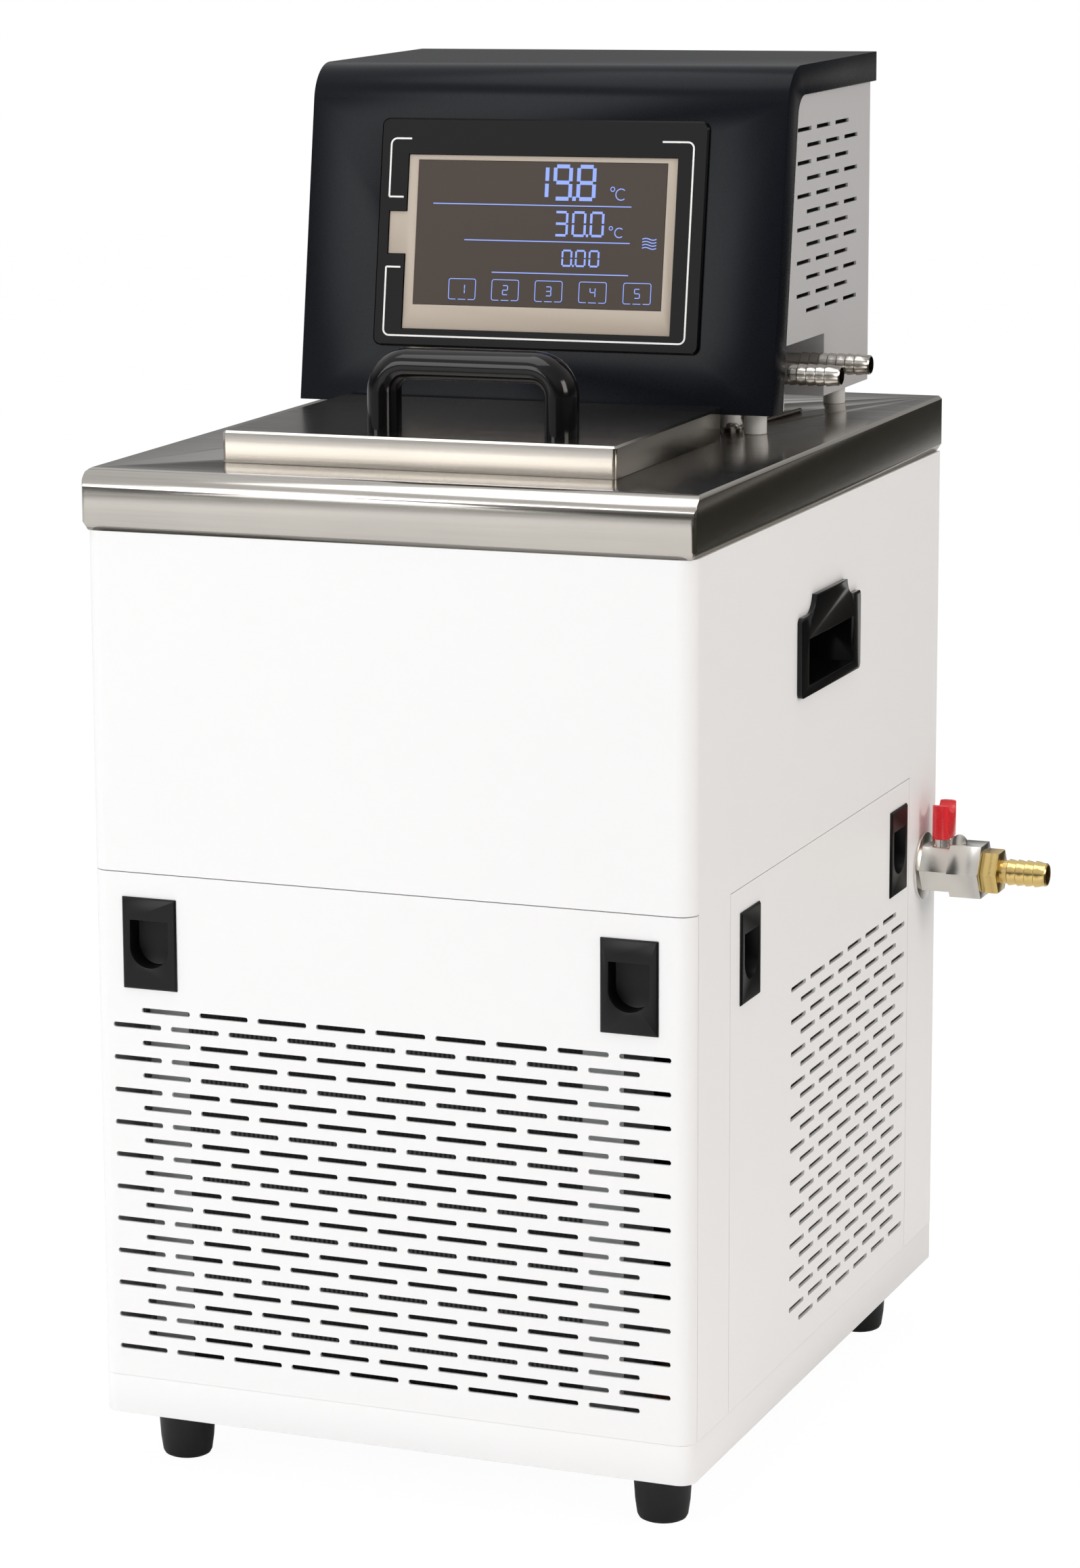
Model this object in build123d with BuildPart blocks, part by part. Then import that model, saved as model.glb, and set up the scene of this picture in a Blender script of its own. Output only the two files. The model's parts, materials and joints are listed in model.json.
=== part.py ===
from build123d import *
import math
import os

# Recirculating chiller: a sheet-metal cabinet on rubber feet, a bath under a lid, a control head behind it.
# Origin on the floor under the middle of the cabinet. +X is the side with the drain tap, -Y is the front.

# Cabinet, from the floor up
body_width = 300
body_depth = 386
corner_radius = 8
sheet = 1.5
foot_height = 30
tray_height = 19.5
lower_panel_height = 249
panel_seam = 0.5
cover_height = 162
deck_height = 28.5
flange = 12
panel_gap = 0.4
wrap_depth = 8

tray_top = foot_height + tray_height
tray_floor = foot_height + sheet
panel_top = tray_top + lower_panel_height
cover_bottom = panel_top + panel_seam
cover_top = cover_bottom + cover_height
deck_top = cover_top + deck_height
front_y = -body_depth / 2
back_y = body_depth / 2
side_x = body_width / 2

# Feet
foot_top_radius = 14
foot_tip_radius = 11.5
foot_round = 5
foot_round_inset = 1
foot_side_inset = 27
foot_end_inset = 38

foot_x = side_x - foot_side_inset
foot_y = back_y - foot_end_inset

# Louvre slots, cut by one tool on the front, the sides and the head
slot_length = 25
slot_width = 2.5
slot_pitch = 30
row_pitch = 8
top_row = 232
slot_rows = 22
front_columns = 9
front_stagger = 7.5
side_columns = 6
side_slot_length = 23
side_grille_inset = 147.5
vent_length = 21.5
vent_width = 2
vent_rows = 12
vent_columns = 3
vent_top_row = 634
vent_y = 88.8

side_grille_y = back_y - side_grille_inset

# Side panels
side_front_inset = 53
side_back_inset = 47.5

side_panel_front = front_y + side_front_inset
side_panel_back = back_y - side_back_inset

# Finger cups
cup_width = 28
cup_height = 44.5
cup_middle = 264.8
cup_proud = 1.2
cup_bevel = 0.8
cup_body_inset = 2
cup_depth = 11
cup_recess_width = 19.7
cup_recess_top = 276
cup_recess_bottom = 253
cup_recess_depth = 9
cup_fit = 0.3
front_cup_inset = 30
front_side_cup_inset = 27.6
back_side_cup_inset = 19.9

front_cup_x = side_x - front_cup_inset
side_cup_front = side_panel_front + front_side_cup_inset
side_cup_back = side_panel_back - back_side_cup_inset

# Carry handles
grip_middle = 3.4
grip_width = 93.2
grip_bottom = 372.6
grip_shoulder = 411.4
grip_top = 419.8
grip_crown = 48.6
grip_neck = 66
grip_corner = 3
grip_proud = 2.5
grip_pocket_width = 71
grip_pocket_bottom = 377.5
grip_pocket_top = 400
grip_pocket_depth = 24
grip_wall = 2
grip_lip = 4
grip_fit = 0.5
grip_bow = 2

# Deck, bath and lid
deck_overhang = 1
deck_nose = 11
deck_edge = 2.5
deck_bevel = 1.5
deck_tuck = 2.5
deck_tuck_height = 4
bath_width = 168
bath_front = -136
bath_back = -14
bath_corner = 15
tank_width = 200
tank_depth = 300
tank_corner = 8
tank_wall = 1
tank_bottom = 325
foam_wall = 15
wrap_thickness = 3
wrap_bottom = 345
wrap_height = 100
lid_width = 196
lid_front = -150
lid_back = -2
lid_height = 15
lid_sheet = 1.2
lid_edge = 2
liner_gap = 2
liner_drop = 12
handle_x = 19.5
handle_y = -127.5
handle_span = 88
handle_height = 39.5
handle_thickness = 15
handle_breadth = 22
handle_bend = 11
handle_edge = 4
foam_clearance = 6
shelf_gap = 0.8
drain_clearance = 2
fitting_clearance = 1

deck_width = body_width + 2 * deck_overhang
deck_depth = body_depth + 2 * deck_overhang

# Control head
head_gap = 11.5
hood_width = 246
hood_front = -0.5
hood_height = 164.3
hood_back = 164
hood_lean = 8.42
hood_radius = 20
hood_sheet = 1.2
hood_band = 16.7
hood_band_radius = 11
hood_lip = 14.6
head_fit = 0.2
chassis_back = 158
notch_front = 22
notch_back = 84.8
notch_height = 31
notch_x = 92
post_radius = 5.5
post_x = 107
post_front = 22.7
post_back = 149

# Display
bezel_width = 169.4
bezel_bottom = 28
bezel_top = 139.7
bezel_corner = 4
bezel_thickness = 2
module_width = 139.3
module_bottom = 36.5
module_top = 121.9
module_proud = 1.2
module_tab_x = -78.8
module_tab_bottom = 73.2
module_tab_top = 94
module_rim = 8
module_depth = 5
plate_rim = 12
display_fit = 0.2
screen_width = 129.2
screen_bottom = 48.5
screen_top = 119.4
screen_thickness = 2

# Hose barbs, pump and bath fittings
barb_y = (29.5, 77.5)
barb_z = 518
barb_tip = 148
barb_radius = 5.3
barb_root = 4.6
barb_bore = 4
barb_ramp = 10
manifold_width = 24
manifold_height = 20
pipe_radius = 4
pipe_bottom = 365
pump_x = -30
pump_y = 95
pump_motor_size = 56
pump_motor_height = 60
column_size = 24
column_wall = 1
pump_bottom = 342
pump_height = 20
pump_size = 46
impeller_radius = 18
impeller_height = 8
impeller_gap = 2
vane_count = 5
shaft_radius = 3
running_gap = 0.05
shaft_clearance = 3
impeller_hub_radius = 7
vane_gap = 1
heater_x = 30
heater_y = 120
heater_radius = 4
heater_bottom = 345
probe_x = 60
probe_y = 120
probe_radius = 2
probe_bottom = 380
fitting_flange = 9
fitting_height = 4

# Deck wire
wire_radius = 1
wire_eye = (94, 26)
wire_end = (102, 110)
eye_radius = 5
eye_hole = 2.5

# Drain tap
tap_inset = 21.2
tap_z = 247.5
rose_radius = 17.5
rose_thickness = 1.5
valve_flats = 23
valve_length = 15
nut_flats = 27.3
nut_length = 16.5
tail_radius = 8
tail_fit = 0.5
tap_barb_flats = 21
tap_barb_hex = 9
tap_barb_radius = 6.8
tap_barb_root = 6
tap_barb_bore = 4.5
tap_barb_length = 24
tap_barb_ramp = 9
lever_x = 161
lever_bottom = 263.6
lever_height = 17.9
lever_length = 18.4
lever_round = 3
lever_width = 8
lever_waist = 5
lever_dip = 5
lever_web = 7
collar_radius = 6
stem_radius = 3.5
stem_depth = 8
stem_head = 12
stop_thickness = 2
stop_width = 8
stop_x = 171
stop_offset = 6.5
stop_top = 266.6

tap_y = back_y - tap_inset

# Drain inside
drain_x = 80
drain_y = 130
drain_radius = 6.35
drain_block_size = 24

# Cooling unit
condenser_left = -110
condenser_right = 90
condenser_inset = 20
condenser_depth = 40
condenser_bottom = 56
condenser_top = 240
plate_width = 20
plate_top = 246
fan_x = -10
fan_z = 148
fan_radius = 80
fan_gap = 4
fan_hub_radius = 24
fan_hub_length = 22
fan_blades_count = 5
blade_width = 44
blade_pitch = 30
blade_thickness = 1.5
blade_camber = 0.1
fan_shaft_radius = 4
fan_shaft_length = 20
fan_motor_size = 60
fan_motor_length = 40
shroud_gap = 6
compressor_x = 40
compressor_inset = 108
compressor_width = 130
compressor_depth = 112
compressor_corner = 45
compressor_height = 165
compressor_shoulder = 14
pad_size = 20
pad_height = 12
pad_x = 36
pad_y = 30
line_radius = 3
line_bend = 15
line_rise = 30
dryer_radius = 11
dryer_length = 90

condenser_front = front_y + condenser_inset
compressor_y = back_y - compressor_inset

# Mains fittings on the back
inlet_x = -90
mains_z = 110
inlet_width = 48
inlet_height = 30
inlet_body_width = 32
inlet_body_height = 26
inlet_depth = 24
inlet_wall = 2
inlet_plate = 2
contact_spread = 7
contact_offset = 3
contact_thickness = 2
contact_height = 6
switch_x = -40
switch_width = 26
switch_height = 34
switch_body_width = 20
switch_body_height = 28
switch_depth = 18
rocker_width = 13
rocker_height = 22
rocker_tilt = 8
rocker_face = 5
rocker_root = 4
rocker_pin = 1
rocker_fit = 0.3
rocker_room = 3
rocker_pin_length = 1.5
rocker_pin_room = 0.5
rocker_pivot_depth = 2
fit = 0.3

front_face = Plane.XZ.offset(body_depth / 2)
right_face = Plane.YZ.offset(side_x)
back_face = Plane.XZ.offset(-body_depth / 2)
head_bottom = deck_top + head_gap
head_top = head_bottom + hood_height
manifold_x = notch_x - hood_sheet - manifold_width / 2
lean = math.radians(hood_lean)
display_face = Plane(
    origin=(0, hood_front, head_bottom), x_dir=(1, 0, 0), z_dir=(0, -math.cos(lean), math.sin(lean))
)


def slot_places(rows, columns, first_row, middle, stagger):
    """Middles of the slots: every other row is shifted sideways, as the punching tool leaves them."""
    places = []
    for row in range(rows):
        shift = stagger if row % 2 == 0 else -stagger
        for column in range(columns):
            along = middle + shift + (column - (columns - 1) / 2) * slot_pitch
            places.append((along, first_row - row * row_pitch))
    return places


def hexagon_radius(across_flats):
    """Corner radius of a hexagon of this width across its flats."""
    return across_flats / math.sqrt(3)


def leaning_point(inset, height):
    """A point (y, z) on the hood's leaning front, moved inwards square to it."""
    return (hood_front + inset / math.cos(lean) + (height - head_bottom) * math.tan(lean), height)


def hood_room(inset):
    """The side outline of the room inside the hood, at this distance from its outer skin."""
    with BuildSketch(Plane.YZ) as room:
        with BuildLine():
            Polyline(
                leaning_point(inset, head_bottom),
                leaning_point(inset, head_top - inset),
                (hood_back - inset, head_top - inset),
                (hood_back - inset, head_bottom),
                close=True,
            )
        make_face()
        brow = room.vertices().group_by(Axis.Y)[-1].sort_by(Axis.X)[0]
        fillet(brow, hood_radius - inset)
    return room.sketch


# Cabinet shell: one folded sheet with the upper front, both sides and the return flanges of the back
shell_back = back_y - sheet
shell_depth = shell_back - front_y
body_hole_width = grip_pocket_width + 2 * grip_wall + 2 * grip_fit
body_hole_bottom = grip_pocket_bottom - grip_wall - grip_fit
body_hole_top = grip_shoulder - grip_wall + grip_fit
panel_hole_middle = (side_panel_front + side_panel_back) / 2
with BuildPart() as cabinet_shell:
    with BuildSketch(Plane.XY.offset(tray_top)) as outline:
        with Locations((0, (front_y + shell_back) / 2)):
            Rectangle(body_width, shell_depth)
        fillet(outline.vertices().group_by(Axis.Y)[0], corner_radius)
        offset(amount=-sheet, kind=Kind.INTERSECTION, mode=Mode.SUBTRACT)
        with Locations((0, shell_back)):
            Rectangle(body_width - 2 * flange, 2 * flange, mode=Mode.SUBTRACT)
    extrude(amount=cover_top - tray_top)
    with BuildSketch(Plane.XY.offset(tray_top)):
        with Locations((0, front_y)):
            Rectangle(body_width, 2 * (wrap_depth + panel_gap))
    extrude(amount=cover_bottom - tray_top, mode=Mode.SUBTRACT)
    with BuildSketch(right_face):
        with Locations((panel_hole_middle, (tray_top + panel_top) / 2)):
            Rectangle(side_panel_back - side_panel_front, lower_panel_height + 2 * panel_seam)
        with Locations((grip_middle, (body_hole_bottom + body_hole_top) / 2)):
            Rectangle(body_hole_width, body_hole_top - body_hole_bottom)
    extrude(amount=-body_width, mode=Mode.SUBTRACT)
    with BuildSketch(right_face):
        with Locations((tap_y, tap_z)):
            Circle(tail_radius + tail_fit)
    extrude(amount=-2 * sheet, mode=Mode.SUBTRACT)

# Front grille panel: wraps both front corners, flanged inwards at top and bottom, slots in staggered rows
with BuildPart() as front_grille_panel:
    with BuildSketch(Plane.XY.offset(tray_top)) as outline:
        Rectangle(body_width, body_depth)
        fillet(outline.vertices().group_by(Axis.Y)[0], corner_radius)
        offset(amount=-sheet, kind=Kind.INTERSECTION, mode=Mode.SUBTRACT)
        with Locations((0, front_y + wrap_depth + body_depth / 2)):
            Rectangle(body_width, body_depth, mode=Mode.SUBTRACT)
    extrude(amount=lower_panel_height)
    for flange_level in (tray_top, panel_top - sheet):
        with BuildSketch(Plane.XY.offset(flange_level)):
            with Locations((0, front_y + sheet + flange / 2)):
                Rectangle(body_width - 2 * corner_radius, flange)
        extrude(amount=sheet)
    with BuildSketch(front_face):
        with Locations(*slot_places(slot_rows, front_columns, top_row, 0, front_stagger)):
            Rectangle(slot_length, slot_width)
        with Locations((-front_cup_x, cup_middle), (front_cup_x, cup_middle)):
            Rectangle(cup_width - 2 * cup_body_inset, cup_height - 2 * cup_body_inset)
    extrude(amount=-sheet, mode=Mode.SUBTRACT)

# Side panels: flat sheets that stand in the shell's openings, the right one with the outlet grille
side_panel_depth = side_panel_back - side_panel_front - 2 * panel_gap


def side_panel_blank():
    """The flanged sheet of the right side, with the holes of its two finger cups."""
    with BuildPart() as blank:
        with BuildSketch(right_face):
            with Locations((panel_hole_middle, (tray_top + panel_top) / 2)):
                Rectangle(side_panel_depth, lower_panel_height)
        extrude(amount=-sheet)
        for flange_level in (tray_top, panel_top - sheet):
            with BuildSketch(Plane.XY.offset(flange_level)):
                with Locations((side_x - sheet - flange / 2, panel_hole_middle)):
                    Rectangle(flange, side_panel_depth)
            extrude(amount=sheet)
        with BuildSketch(right_face):
            with Locations((side_cup_front, cup_middle), (side_cup_back, cup_middle)):
                Rectangle(cup_width - 2 * cup_body_inset, cup_height - 2 * cup_body_inset)
        extrude(amount=-sheet, mode=Mode.SUBTRACT)
    return blank.part


with BuildPart() as right_side_panel:
    add(side_panel_blank())
    with BuildSketch(right_face):
        with Locations(*slot_places(slot_rows, side_columns, top_row, side_grille_y, -front_stagger)):
            Rectangle(side_slot_length, slot_width)
    extrude(amount=-sheet, mode=Mode.SUBTRACT)

with BuildPart() as left_side_panel:
    mirror(side_panel_blank(), about=Plane.YZ)

# Base tray: a folded pan whose inward flange carries the shell and the panels
with BuildPart() as base_tray:
    with BuildSketch(Plane.XY.offset(foot_height)) as outline:
        Rectangle(body_width, body_depth)
        fillet(outline.vertices().group_by(Axis.Y)[0], corner_radius)
    extrude(amount=tray_height)
    with BuildSketch(Plane.XY.offset(tray_floor)) as room:
        Rectangle(body_width - 2 * sheet, body_depth - 2 * sheet)
        fillet(room.vertices().group_by(Axis.Y)[0], corner_radius - sheet)
    extrude(amount=tray_height - 2 * sheet, mode=Mode.SUBTRACT)
    with BuildSketch(Plane.XY.offset(tray_top - sheet)):
        Rectangle(body_width - 2 * flange, body_depth - 2 * flange)
    extrude(amount=sheet, mode=Mode.SUBTRACT)

# Rubber feet, wider at the top
with BuildPart() as feet:
    with BuildSketch(Plane.XZ):
        with BuildLine():
            Polyline(
                (0, 0),
                (foot_tip_radius, 0),
                (foot_top_radius - foot_round_inset, foot_round),
                (foot_top_radius, foot_height),
                (0, foot_height),
                close=True,
            )
        make_face()
    one_foot = revolve(axis=Axis.Z, mode=Mode.PRIVATE)
    with GridLocations(2 * foot_x, 2 * foot_y, 2, 2):
        add(one_foot)


def finger_cup():
    """One cup on the XZ plane, facing -Y: bevelled plate, box behind it, recess with a round bottom."""
    arc_radius = cup_recess_width / 2
    plate_back = Plane.XZ
    with BuildPart() as cup:
        with BuildSketch(plate_back):
            Rectangle(cup_width, cup_height)
        extrude(amount=cup_proud)
        chamfer(cup.faces().sort_by(Axis.Y)[0].edges(), cup_bevel)
        with BuildSketch(plate_back):
            Rectangle(
                cup_width - 2 * (cup_body_inset + cup_fit), cup_height - 2 * (cup_body_inset + cup_fit)
            )
        extrude(amount=-cup_depth)
        with BuildSketch(plate_back.offset(cup_proud)):
            with BuildLine():
                top_z = cup_recess_top - cup_middle
                low_z = cup_recess_bottom - cup_middle
                spring = low_z + arc_radius
                Polyline((-arc_radius, spring), (-arc_radius, top_z), (arc_radius, top_z), (arc_radius, spring))
                ThreePointArc((arc_radius, spring), (0, low_z), (-arc_radius, spring))
            make_face()
        extrude(amount=-(cup_proud + cup_recess_depth), mode=Mode.SUBTRACT)
    return cup.part


one_cup = finger_cup()
with BuildPart() as front_finger_cups:
    for cup_x in (-front_cup_x, front_cup_x):
        add(Pos(cup_x, front_y, cup_middle) * one_cup)

with BuildPart() as right_finger_cups:
    for cup_y in (side_cup_front, side_cup_back):
        add(Pos(side_x, cup_y, cup_middle) * Rot(0, 0, 90) * one_cup)

with BuildPart() as left_finger_cups:
    mirror(right_finger_cups.part, about=Plane.YZ)

# Carry handles: a raised plate with a humped top, a pocket box behind it and finger room up behind the plate
grip_left = grip_middle - grip_width / 2
grip_right = grip_middle + grip_width / 2
pocket_height = grip_pocket_top - grip_pocket_bottom
with BuildPart() as right_carry_handle:
    with BuildSketch(right_face):
        with BuildLine():
            crown_left = (grip_middle - grip_crown / 2, grip_top)
            crown_right = (grip_middle + grip_crown / 2, grip_top)
            neck_left = (grip_middle - grip_neck / 2, grip_shoulder)
            neck_right = (grip_middle + grip_neck / 2, grip_shoulder)
            Polyline(
                neck_left,
                (grip_left, grip_shoulder),
                (grip_left, grip_bottom),
                (grip_right, grip_bottom),
                (grip_right, grip_shoulder),
                neck_right,
            )
            SagittaArc(neck_left, crown_left, -grip_bow)
            Line(crown_left, crown_right)
            SagittaArc(neck_right, crown_right, grip_bow)
        make_face()
    plate = extrude(amount=grip_proud)
    plate_corners = plate.edges().filter_by(Axis.X)
    outer_corners = plate_corners.group_by(Axis.Y)[0] + plate_corners.group_by(Axis.Y)[-1]
    fillet(outer_corners, grip_corner)
    with BuildSketch(right_face):
        with Locations((grip_middle, (grip_pocket_bottom - grip_wall + grip_shoulder - grip_wall) / 2)):
            Rectangle(
                grip_pocket_width + 2 * grip_wall, grip_shoulder - grip_pocket_bottom
            )
    extrude(amount=-grip_pocket_depth - grip_wall)
    with BuildSketch(right_face.offset(grip_proud)):
        with Locations((grip_middle, (grip_pocket_bottom + grip_pocket_top) / 2)):
            Rectangle(grip_pocket_width, pocket_height)
    extrude(amount=-grip_pocket_depth - grip_proud, mode=Mode.SUBTRACT)
    with BuildSketch(right_face.offset(grip_proud - grip_lip)):
        with Locations((grip_middle, (grip_pocket_top + grip_shoulder) / 2 - grip_wall)):
            Rectangle(grip_pocket_width, grip_shoulder - grip_pocket_top)
    extrude(amount=-(grip_pocket_depth + grip_proud - grip_lip), mode=Mode.SUBTRACT)

with BuildPart() as left_carry_handle:
    mirror(right_carry_handle.part, about=Plane.YZ)

# Rear panel: a plain sheet over the shell's return flanges, with the two mains fittings let in
with BuildPart() as rear_panel:
    with BuildSketch(back_face):
        with Locations((0, (tray_top + cover_top) / 2)):
            Rectangle(body_width, cover_top - tray_top)
        with Locations((inlet_x, mains_z)):
            Rectangle(inlet_body_width + 2 * fit, inlet_body_height + 2 * fit, mode=Mode.SUBTRACT)
        with Locations((switch_x, mains_z)):
            Rectangle(switch_body_width + 2 * fit, switch_body_height + 2 * fit, mode=Mode.SUBTRACT)
    extrude(amount=sheet)

# Mains inlet: flanged box with an open socket and three flat contacts
with BuildPart() as mains_inlet:
    with BuildSketch(back_face):
        with Locations((inlet_x, mains_z)):
            Rectangle(inlet_width, inlet_height)
    extrude(amount=-inlet_plate)
    with BuildSketch(back_face):
        with Locations((inlet_x, mains_z)):
            Rectangle(inlet_body_width, inlet_body_height)
    extrude(amount=inlet_depth)
    with BuildSketch(back_face.offset(-inlet_plate)):
        with Locations((inlet_x, mains_z)):
            Rectangle(inlet_body_width - 2 * inlet_wall, inlet_body_height - 2 * inlet_wall)
    extrude(amount=inlet_depth, mode=Mode.SUBTRACT)
    with BuildSketch(back_face):
        with Locations(
            (inlet_x - contact_spread, mains_z - contact_offset),
            (inlet_x, mains_z + contact_offset),
            (inlet_x + contact_spread, mains_z - contact_offset),
        ):
            Rectangle(contact_thickness, contact_height)
    extrude(amount=inlet_depth - inlet_wall)

# Mains switch: bezel box with a rocker that tips on two pivot pins
pivot_y = back_y - rocker_pivot_depth
off_tilt = math.radians(rocker_tilt)
rocker_plane = Plane(
    origin=(switch_x, pivot_y, mains_z), x_dir=(0, math.cos(off_tilt), math.sin(off_tilt)), z_dir=(1, 0, 0)
)
with BuildPart() as switch_bezel:
    with BuildSketch(back_face):
        with Locations((switch_x, mains_z)):
            Rectangle(switch_width, switch_height)
    extrude(amount=-inlet_plate)
    with BuildSketch(back_face):
        with Locations((switch_x, mains_z)):
            Rectangle(switch_body_width, switch_body_height)
    extrude(amount=switch_depth)
    with BuildSketch(back_face.offset(-inlet_plate)):
        with Locations((switch_x, mains_z)):
            Rectangle(rocker_width + 2 * rocker_fit, rocker_height + rocker_room)
    extrude(amount=switch_depth, mode=Mode.SUBTRACT)
    with BuildSketch(rocker_plane):
        Circle(rocker_pin + running_gap)
    extrude(amount=rocker_width / 2 + rocker_pin_length + rocker_pin_room, both=True, mode=Mode.SUBTRACT)

with BuildPart() as mains_rocker:
    with BuildSketch(rocker_plane):
        with BuildLine():
            half = rocker_height / 2
            crown = rocker_face + half * math.tan(off_tilt)
            Polyline(
                (crown, half),
                (rocker_face, 0),
                (crown, -half),
                (-rocker_root, -half / 2),
                (-rocker_root, half / 2),
                close=True,
            )
        make_face()
    extrude(amount=rocker_width / 2, both=True)
    with BuildSketch(rocker_plane):
        Circle(rocker_pin)
    extrude(amount=rocker_width / 2 + rocker_pin_length, both=True)

# Middle shelf: closes the cooling room and carries the insulated tank
shelf_bottom = cover_bottom + shelf_gap
shelf_front = front_y + sheet + fit
shelf_back = shell_back - sheet - fit
with BuildPart() as middle_shelf:
    with BuildSketch(Plane.XY.offset(shelf_bottom)):
        with Locations((0, (shelf_front + shelf_back) / 2)):
            Rectangle(body_width - 2 * sheet, shelf_back - shelf_front - 2 * corner_radius)
        with Locations((drain_x, drain_y)):
            Circle(drain_radius + drain_clearance, mode=Mode.SUBTRACT)
    extrude(amount=sheet)
shelf_top = shelf_bottom + sheet

# Stainless deck: rounded nose at the front, edge tucked under, inward lip that sits on the cabinet
with BuildPart() as deck:
    with BuildSketch(Plane.XY.offset(cover_top)):
        RectangleRounded(deck_width, deck_depth, deck_edge)
    extrude(amount=deck_height)
    base = deck.faces().sort_by(Axis.Z)[0]
    chamfer(base.edges(), deck_tuck, deck_tuck_height, reference=base)
    chamfer(deck.faces().sort_by(Axis.Z)[-1].edges(), deck_bevel)
    with BuildSketch(Plane.YZ):
        with Locations((-deck_depth / 2, deck_top)):
            Rectangle(2 * deck_nose, 2 * deck_nose)
        with Locations((-deck_depth / 2 + deck_nose, deck_top - deck_nose)):
            Circle(deck_nose, mode=Mode.SUBTRACT)
    extrude(amount=deck_width, both=True, mode=Mode.SUBTRACT)
    with BuildSketch(Plane.YZ) as inside:
        with Locations((0, (cover_top + deck_tuck_height + deck_top - sheet) / 2)):
            Rectangle(deck_depth - 2 * sheet, deck_height - deck_tuck_height - sheet)
        fillet(inside.vertices().group_by(Axis.Y)[-1].sort_by(Axis.X)[0], deck_nose - sheet)
    extrude(amount=deck_width / 2 - sheet, both=True, mode=Mode.SUBTRACT)
    with BuildSketch(Plane.XY.offset(cover_top + sheet)):
        Rectangle(deck_width - 2 * (deck_tuck + sheet), deck_depth - 2 * (deck_tuck + sheet))
    extrude(amount=deck_tuck_height, mode=Mode.SUBTRACT)
    with BuildSketch(Plane.XY.offset(cover_top)):
        Rectangle(deck_width - 2 * flange, deck_depth - 2 * flange)
    extrude(amount=deck_tuck_height, mode=Mode.SUBTRACT)
    with BuildSketch(Plane.XY.offset(deck_top - sheet)):
        with Locations((0, (bath_front + bath_back) / 2)):
            RectangleRounded(bath_width, bath_back - bath_front, bath_corner)
        with Locations((pump_x, pump_y)):
            Rectangle(column_size + 2 * fitting_clearance, column_size + 2 * fitting_clearance)
        with Locations((heater_x, heater_y)):
            Circle(heater_radius + fitting_clearance)
        with Locations((probe_x, probe_y)):
            Circle(probe_radius + fitting_clearance)
        with Locations(*[(manifold_x, y) for y in barb_y]):
            Circle(pipe_radius + fitting_clearance)
    extrude(amount=sheet, mode=Mode.SUBTRACT)

# Bath tank under the deck, open at the top
tank_top = deck_top - sheet
with BuildPart() as bath_tank:
    with BuildSketch(Plane.XY.offset(tank_bottom)):
        RectangleRounded(tank_width, tank_depth, tank_corner)
    extrude(amount=tank_top - tank_bottom)
    with BuildSketch(Plane.XY.offset(tank_bottom + tank_wall)):
        RectangleRounded(tank_width - 2 * tank_wall, tank_depth - 2 * tank_wall, tank_corner - tank_wall)
    extrude(amount=tank_top - tank_bottom, mode=Mode.SUBTRACT)
    with BuildSketch(Plane.XY.offset(tank_bottom)):
        with Locations((drain_x, drain_y)):
            Circle(tap_barb_bore)
    extrude(amount=tank_wall, mode=Mode.SUBTRACT)

# Evaporator: a flat jacket round the tank walls
with BuildPart() as evaporator_jacket:
    with BuildSketch(Plane.XY.offset(wrap_bottom)):
        RectangleRounded(
            tank_width + 2 * wrap_thickness, tank_depth + 2 * wrap_thickness, tank_corner + wrap_thickness
        )
        RectangleRounded(tank_width, tank_depth, tank_corner, mode=Mode.SUBTRACT)
    extrude(amount=wrap_height)

# Foam block: carries the tank and fills the cover round it
foam_width = body_width - 2 * (grip_pocket_depth + grip_wall + foam_clearance)
foam_depth = tank_depth + 2 * (wrap_thickness + foam_wall)
with BuildPart() as tank_insulation:
    with BuildSketch(Plane.XY.offset(shelf_top)):
        Rectangle(foam_width, foam_depth)
    extrude(amount=cover_top - shelf_top)
    with BuildSketch(Plane.XY.offset(tank_bottom)):
        Rectangle(tank_width + 2 * wrap_thickness, tank_depth + 2 * wrap_thickness)
    extrude(amount=cover_top - tank_bottom, mode=Mode.SUBTRACT)
    with BuildSketch(Plane.XY.offset(shelf_top)):
        with Locations((drain_x, drain_y)):
            Circle(drain_radius + drain_clearance)
    extrude(amount=tank_bottom - shelf_top, mode=Mode.SUBTRACT)

# Bath lid: a shallow folded pan, upside down on the deck
lid_middle = (lid_front + lid_back) / 2
lid_depth = lid_back - lid_front
lid_top = deck_top + lid_height
with BuildPart() as bath_lid:
    with BuildSketch(Plane.XY.offset(deck_top)):
        with Locations((0, lid_middle)):
            RectangleRounded(lid_width, lid_depth, lid_edge)
    extrude(amount=lid_height)
    chamfer(bath_lid.faces().sort_by(Axis.Z)[-1].edges(), lid_edge / 2)
    with BuildSketch(Plane.XY.offset(deck_top)):
        with Locations((0, lid_middle)):
            Rectangle(lid_width - 2 * lid_sheet, lid_depth - 2 * lid_sheet)
    extrude(amount=lid_height - lid_sheet, mode=Mode.SUBTRACT)

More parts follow.
